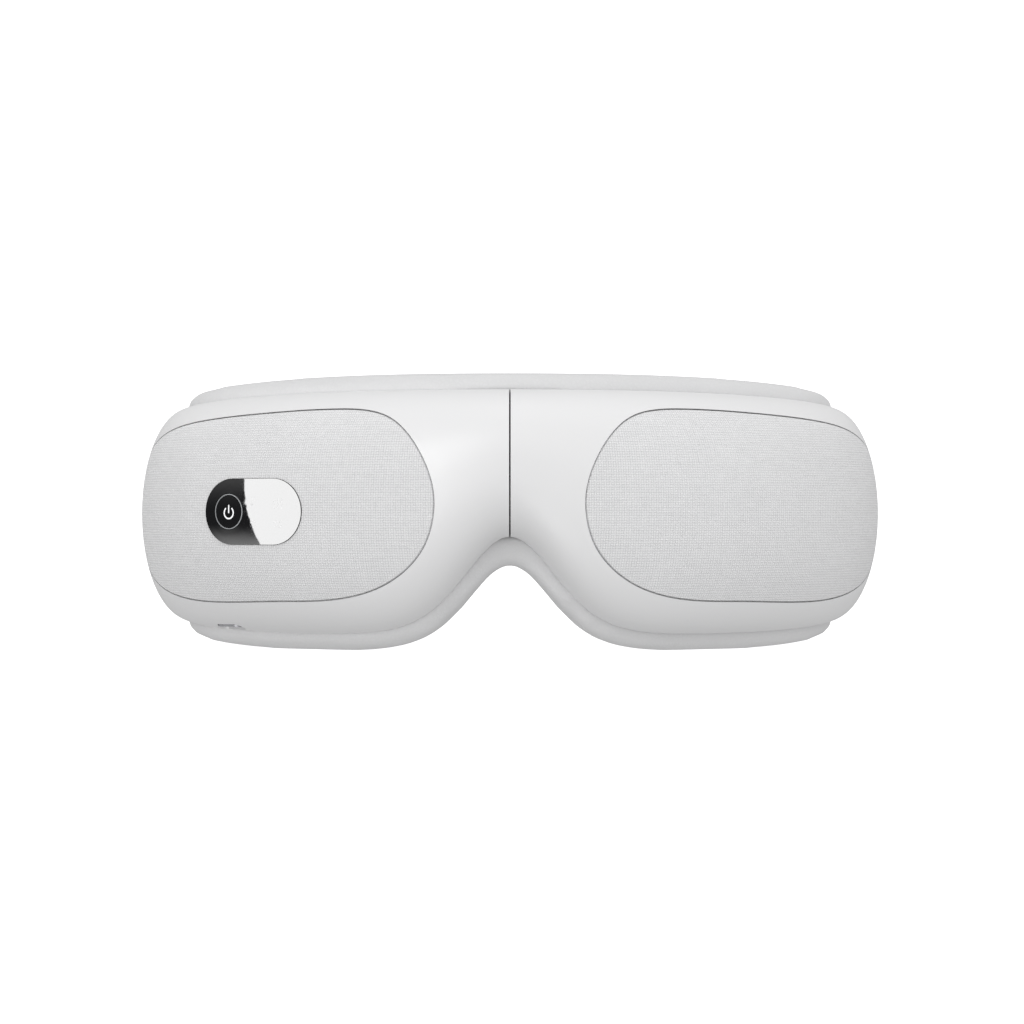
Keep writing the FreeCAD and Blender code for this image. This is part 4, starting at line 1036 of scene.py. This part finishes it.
class MASK_OT_head_strap(MaskOperator, bpy.types.Operator):
    """Woven elastic strap, looped over both anchor bars"""

    bl_idname = "mask.head_strap"
    bl_label = "Head strap"

    def execute(self, context):
        path, flat_length = self.path()
        strap = self.ribbon("woven_strap", path, flat_length)
        finish(smooth_shaded(strap), strap_finish(), "strap_webbing")
        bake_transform(strap)
        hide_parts("head_strap")
        return {"FINISHED"}

    def path(self):
        """Middle line of the strap in plan, from tail to tail, with its distances."""
        size = sizes()
        bar_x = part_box("head_strap")[1].x - size.loop_radius - size.strap_thickness / 2
        low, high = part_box("right_strap_anchor")
        bar_y = high.y - (high.x - low.x) / 2
        slope = size.strap_slope
        run = Vector((-math.cos(slope), math.sin(slope)))
        out = Vector((math.sin(slope), math.cos(slope)))
        bar = Vector((bar_x, bar_y))
        radius = size.loop_radius
        half = [bar + run * (size.strap_tail * (1 - i / 10)) - out * radius for i in range(10)]
        for i in range(13):
            turn = math.pi * i / 12
            half.append(bar - run * (radius * math.sin(turn)) - out * (radius * math.cos(turn)))
        for i in range(1, 13):
            half.append(bar + run * (size.strap_run * i / 12) + out * radius)
        end = half[-1]
        bow = end.x / math.sin(slope)
        centre = end.y - bow * math.cos(slope)
        middle = []
        for i in range(1, 24):
            turn = slope * (1 - 2 * i / 24)
            middle.append(Vector((bow * math.sin(turn), centre + bow * math.cos(turn))))
        other = [Vector((-p.x, p.y)) for p in half[::-1]]
        line = half + middle + other
        total = sum((b - a).length for a, b in zip(line, line[1:]))
        return line, total

    def ribbon(self, name, line, total):
        size = sizes()
        half, thick = size.strap_width / 2, size.strap_thickness / 2
        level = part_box("head_strap")[0].z + half
        edge = thick * 0.75
        rows = 22
        flat = half - edge
        outline = []
        for sign in (1, -1):
            for i in range(rows + 1):
                outline.append((sign * (2 * flat * i / rows - flat), sign * thick))
            for i in range(1, 6):
                turn = math.pi * i / 6
                up = flat + edge * math.sin(turn)
                outline.append((sign * up, sign * thick * math.cos(turn)))
        points, along, across, sewn = [], [], [], []
        run = 0.0
        for i, place in enumerate(line):
            if i:
                run += (place - line[i - 1]).length
            way = (line[min(i + 1, len(line) - 1)] - line[max(i - 1, 0)]).normalized()
            side = Vector((-way.y, way.x))
            from_end = min(run, total - run)
            for up, off in outline:
                spot = place + side * off
                points.append((spot.x, spot.y, level + up))
                along.append(run)
                across.append(up)
                sewn.append(1.0 if from_end < SEWN_END else 0.0)
        count = len(outline)
        faces = []
        for i in range(len(line) - 1):
            for k in range(count):
                j = (k + 1) % count
                here, there = i * count, (i + 1) * count
                faces.append((here + k, here + j, there + j, there + k))
        faces.append(tuple(range(count))[::-1])
        faces.append(tuple((len(line) - 1) * count + k for k in range(count)))
        strap = built(name, points, faces)
        mark(strap, "along", along)
        mark(strap, "across", across)
        mark(strap, "sewn", sewn)
        return strap


class MASK_OT_leads(MaskOperator, bpy.types.Operator):
    """Air line and flat cable that cross the fold"""

    bl_idname = "mask.leads"
    bl_label = "Leads across the fold"

    def execute(self, context):
        hose = rubber("silicone_hose", (0.72, 0.72, 0.70))
        film = foil("flat_cable_film", (0.70, 0.66, 0.52))
        plans = (
            ("bridge_line", "bridge_hose", hose, "hose_rubber"),
            ("flat_cable", "ribbon_cable", film, "ribbon"),
        )
        for name, node, material, slot in plans:
            lead = smooth_shaded(modify(copied(name, node), "WELD", merge_threshold=0.00001))
            finish(lead, material, slot)
            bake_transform(lead)
            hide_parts(node)
        return {"FINISHED"}


class MASK_OT_fittings(MaskOperator, bpy.types.Operator):
    """Finishes of the frames, fastenings, hinge, socket and the drive parts inside"""

    bl_idname = "mask.fittings"
    bl_label = "Fittings and drive parts"

    def execute(self, context):
        made = {}
        slots = {part["node"]: part["material_slot"] for part in frame["record"]["subparts"]}
        for name, piece in frame["nodes"].items():
            if "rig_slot" in piece or piece.hide_render:
                continue
            slot = slots[name]
            if slot not in FITTINGS:
                raise RuntimeError("no finish for " + name)
            if slot not in made:
                maker, *looks = FITTINGS[slot]
                made[slot] = maker(*looks)
            finish(piece, made[slot], slot)
        return {"FINISHED"}


class MASK_PT_panel(bpy.types.Panel):
    bl_label = "Eye massager mask"
    bl_space_type = "VIEW_3D"
    bl_region_type = "UI"
    bl_category = "Mask"

    def draw(self, context):
        for group in (context.scene.mask_sizes, context.scene.mask_colours):
            box = self.layout.box()
            for name in group.__annotations__:
                box.prop(group, name)
        for operator in OPERATORS:
            self.layout.operator(operator.bl_idname)


OPERATORS = (
    MASK_OT_stage,
    MASK_OT_shells,
    MASK_OT_fabric_panels,
    MASK_OT_face_pad,
    MASK_OT_eye_cushions,
    MASK_OT_control_window,
    MASK_OT_head_strap,
    MASK_OT_leads,
    MASK_OT_fittings,
)
CLASSES = (MaskSizes, MaskColours, *OPERATORS, MASK_PT_panel)


def register():
    for made in CLASSES:
        bpy.utils.register_class(made)
    bpy.types.Scene.mask_sizes = PointerProperty(type=MaskSizes)
    bpy.types.Scene.mask_colours = PointerProperty(type=MaskColours)


def unregister():
    del bpy.types.Scene.mask_colours
    del bpy.types.Scene.mask_sizes
    for made in reversed(CLASSES):
        bpy.utils.unregister_class(made)


def main():
    register()
    for operator in OPERATORS:
        group, name = operator.bl_idname.split(".")
        getattr(getattr(bpy.ops, group), name)()


if __name__ == "__main__":
    main()
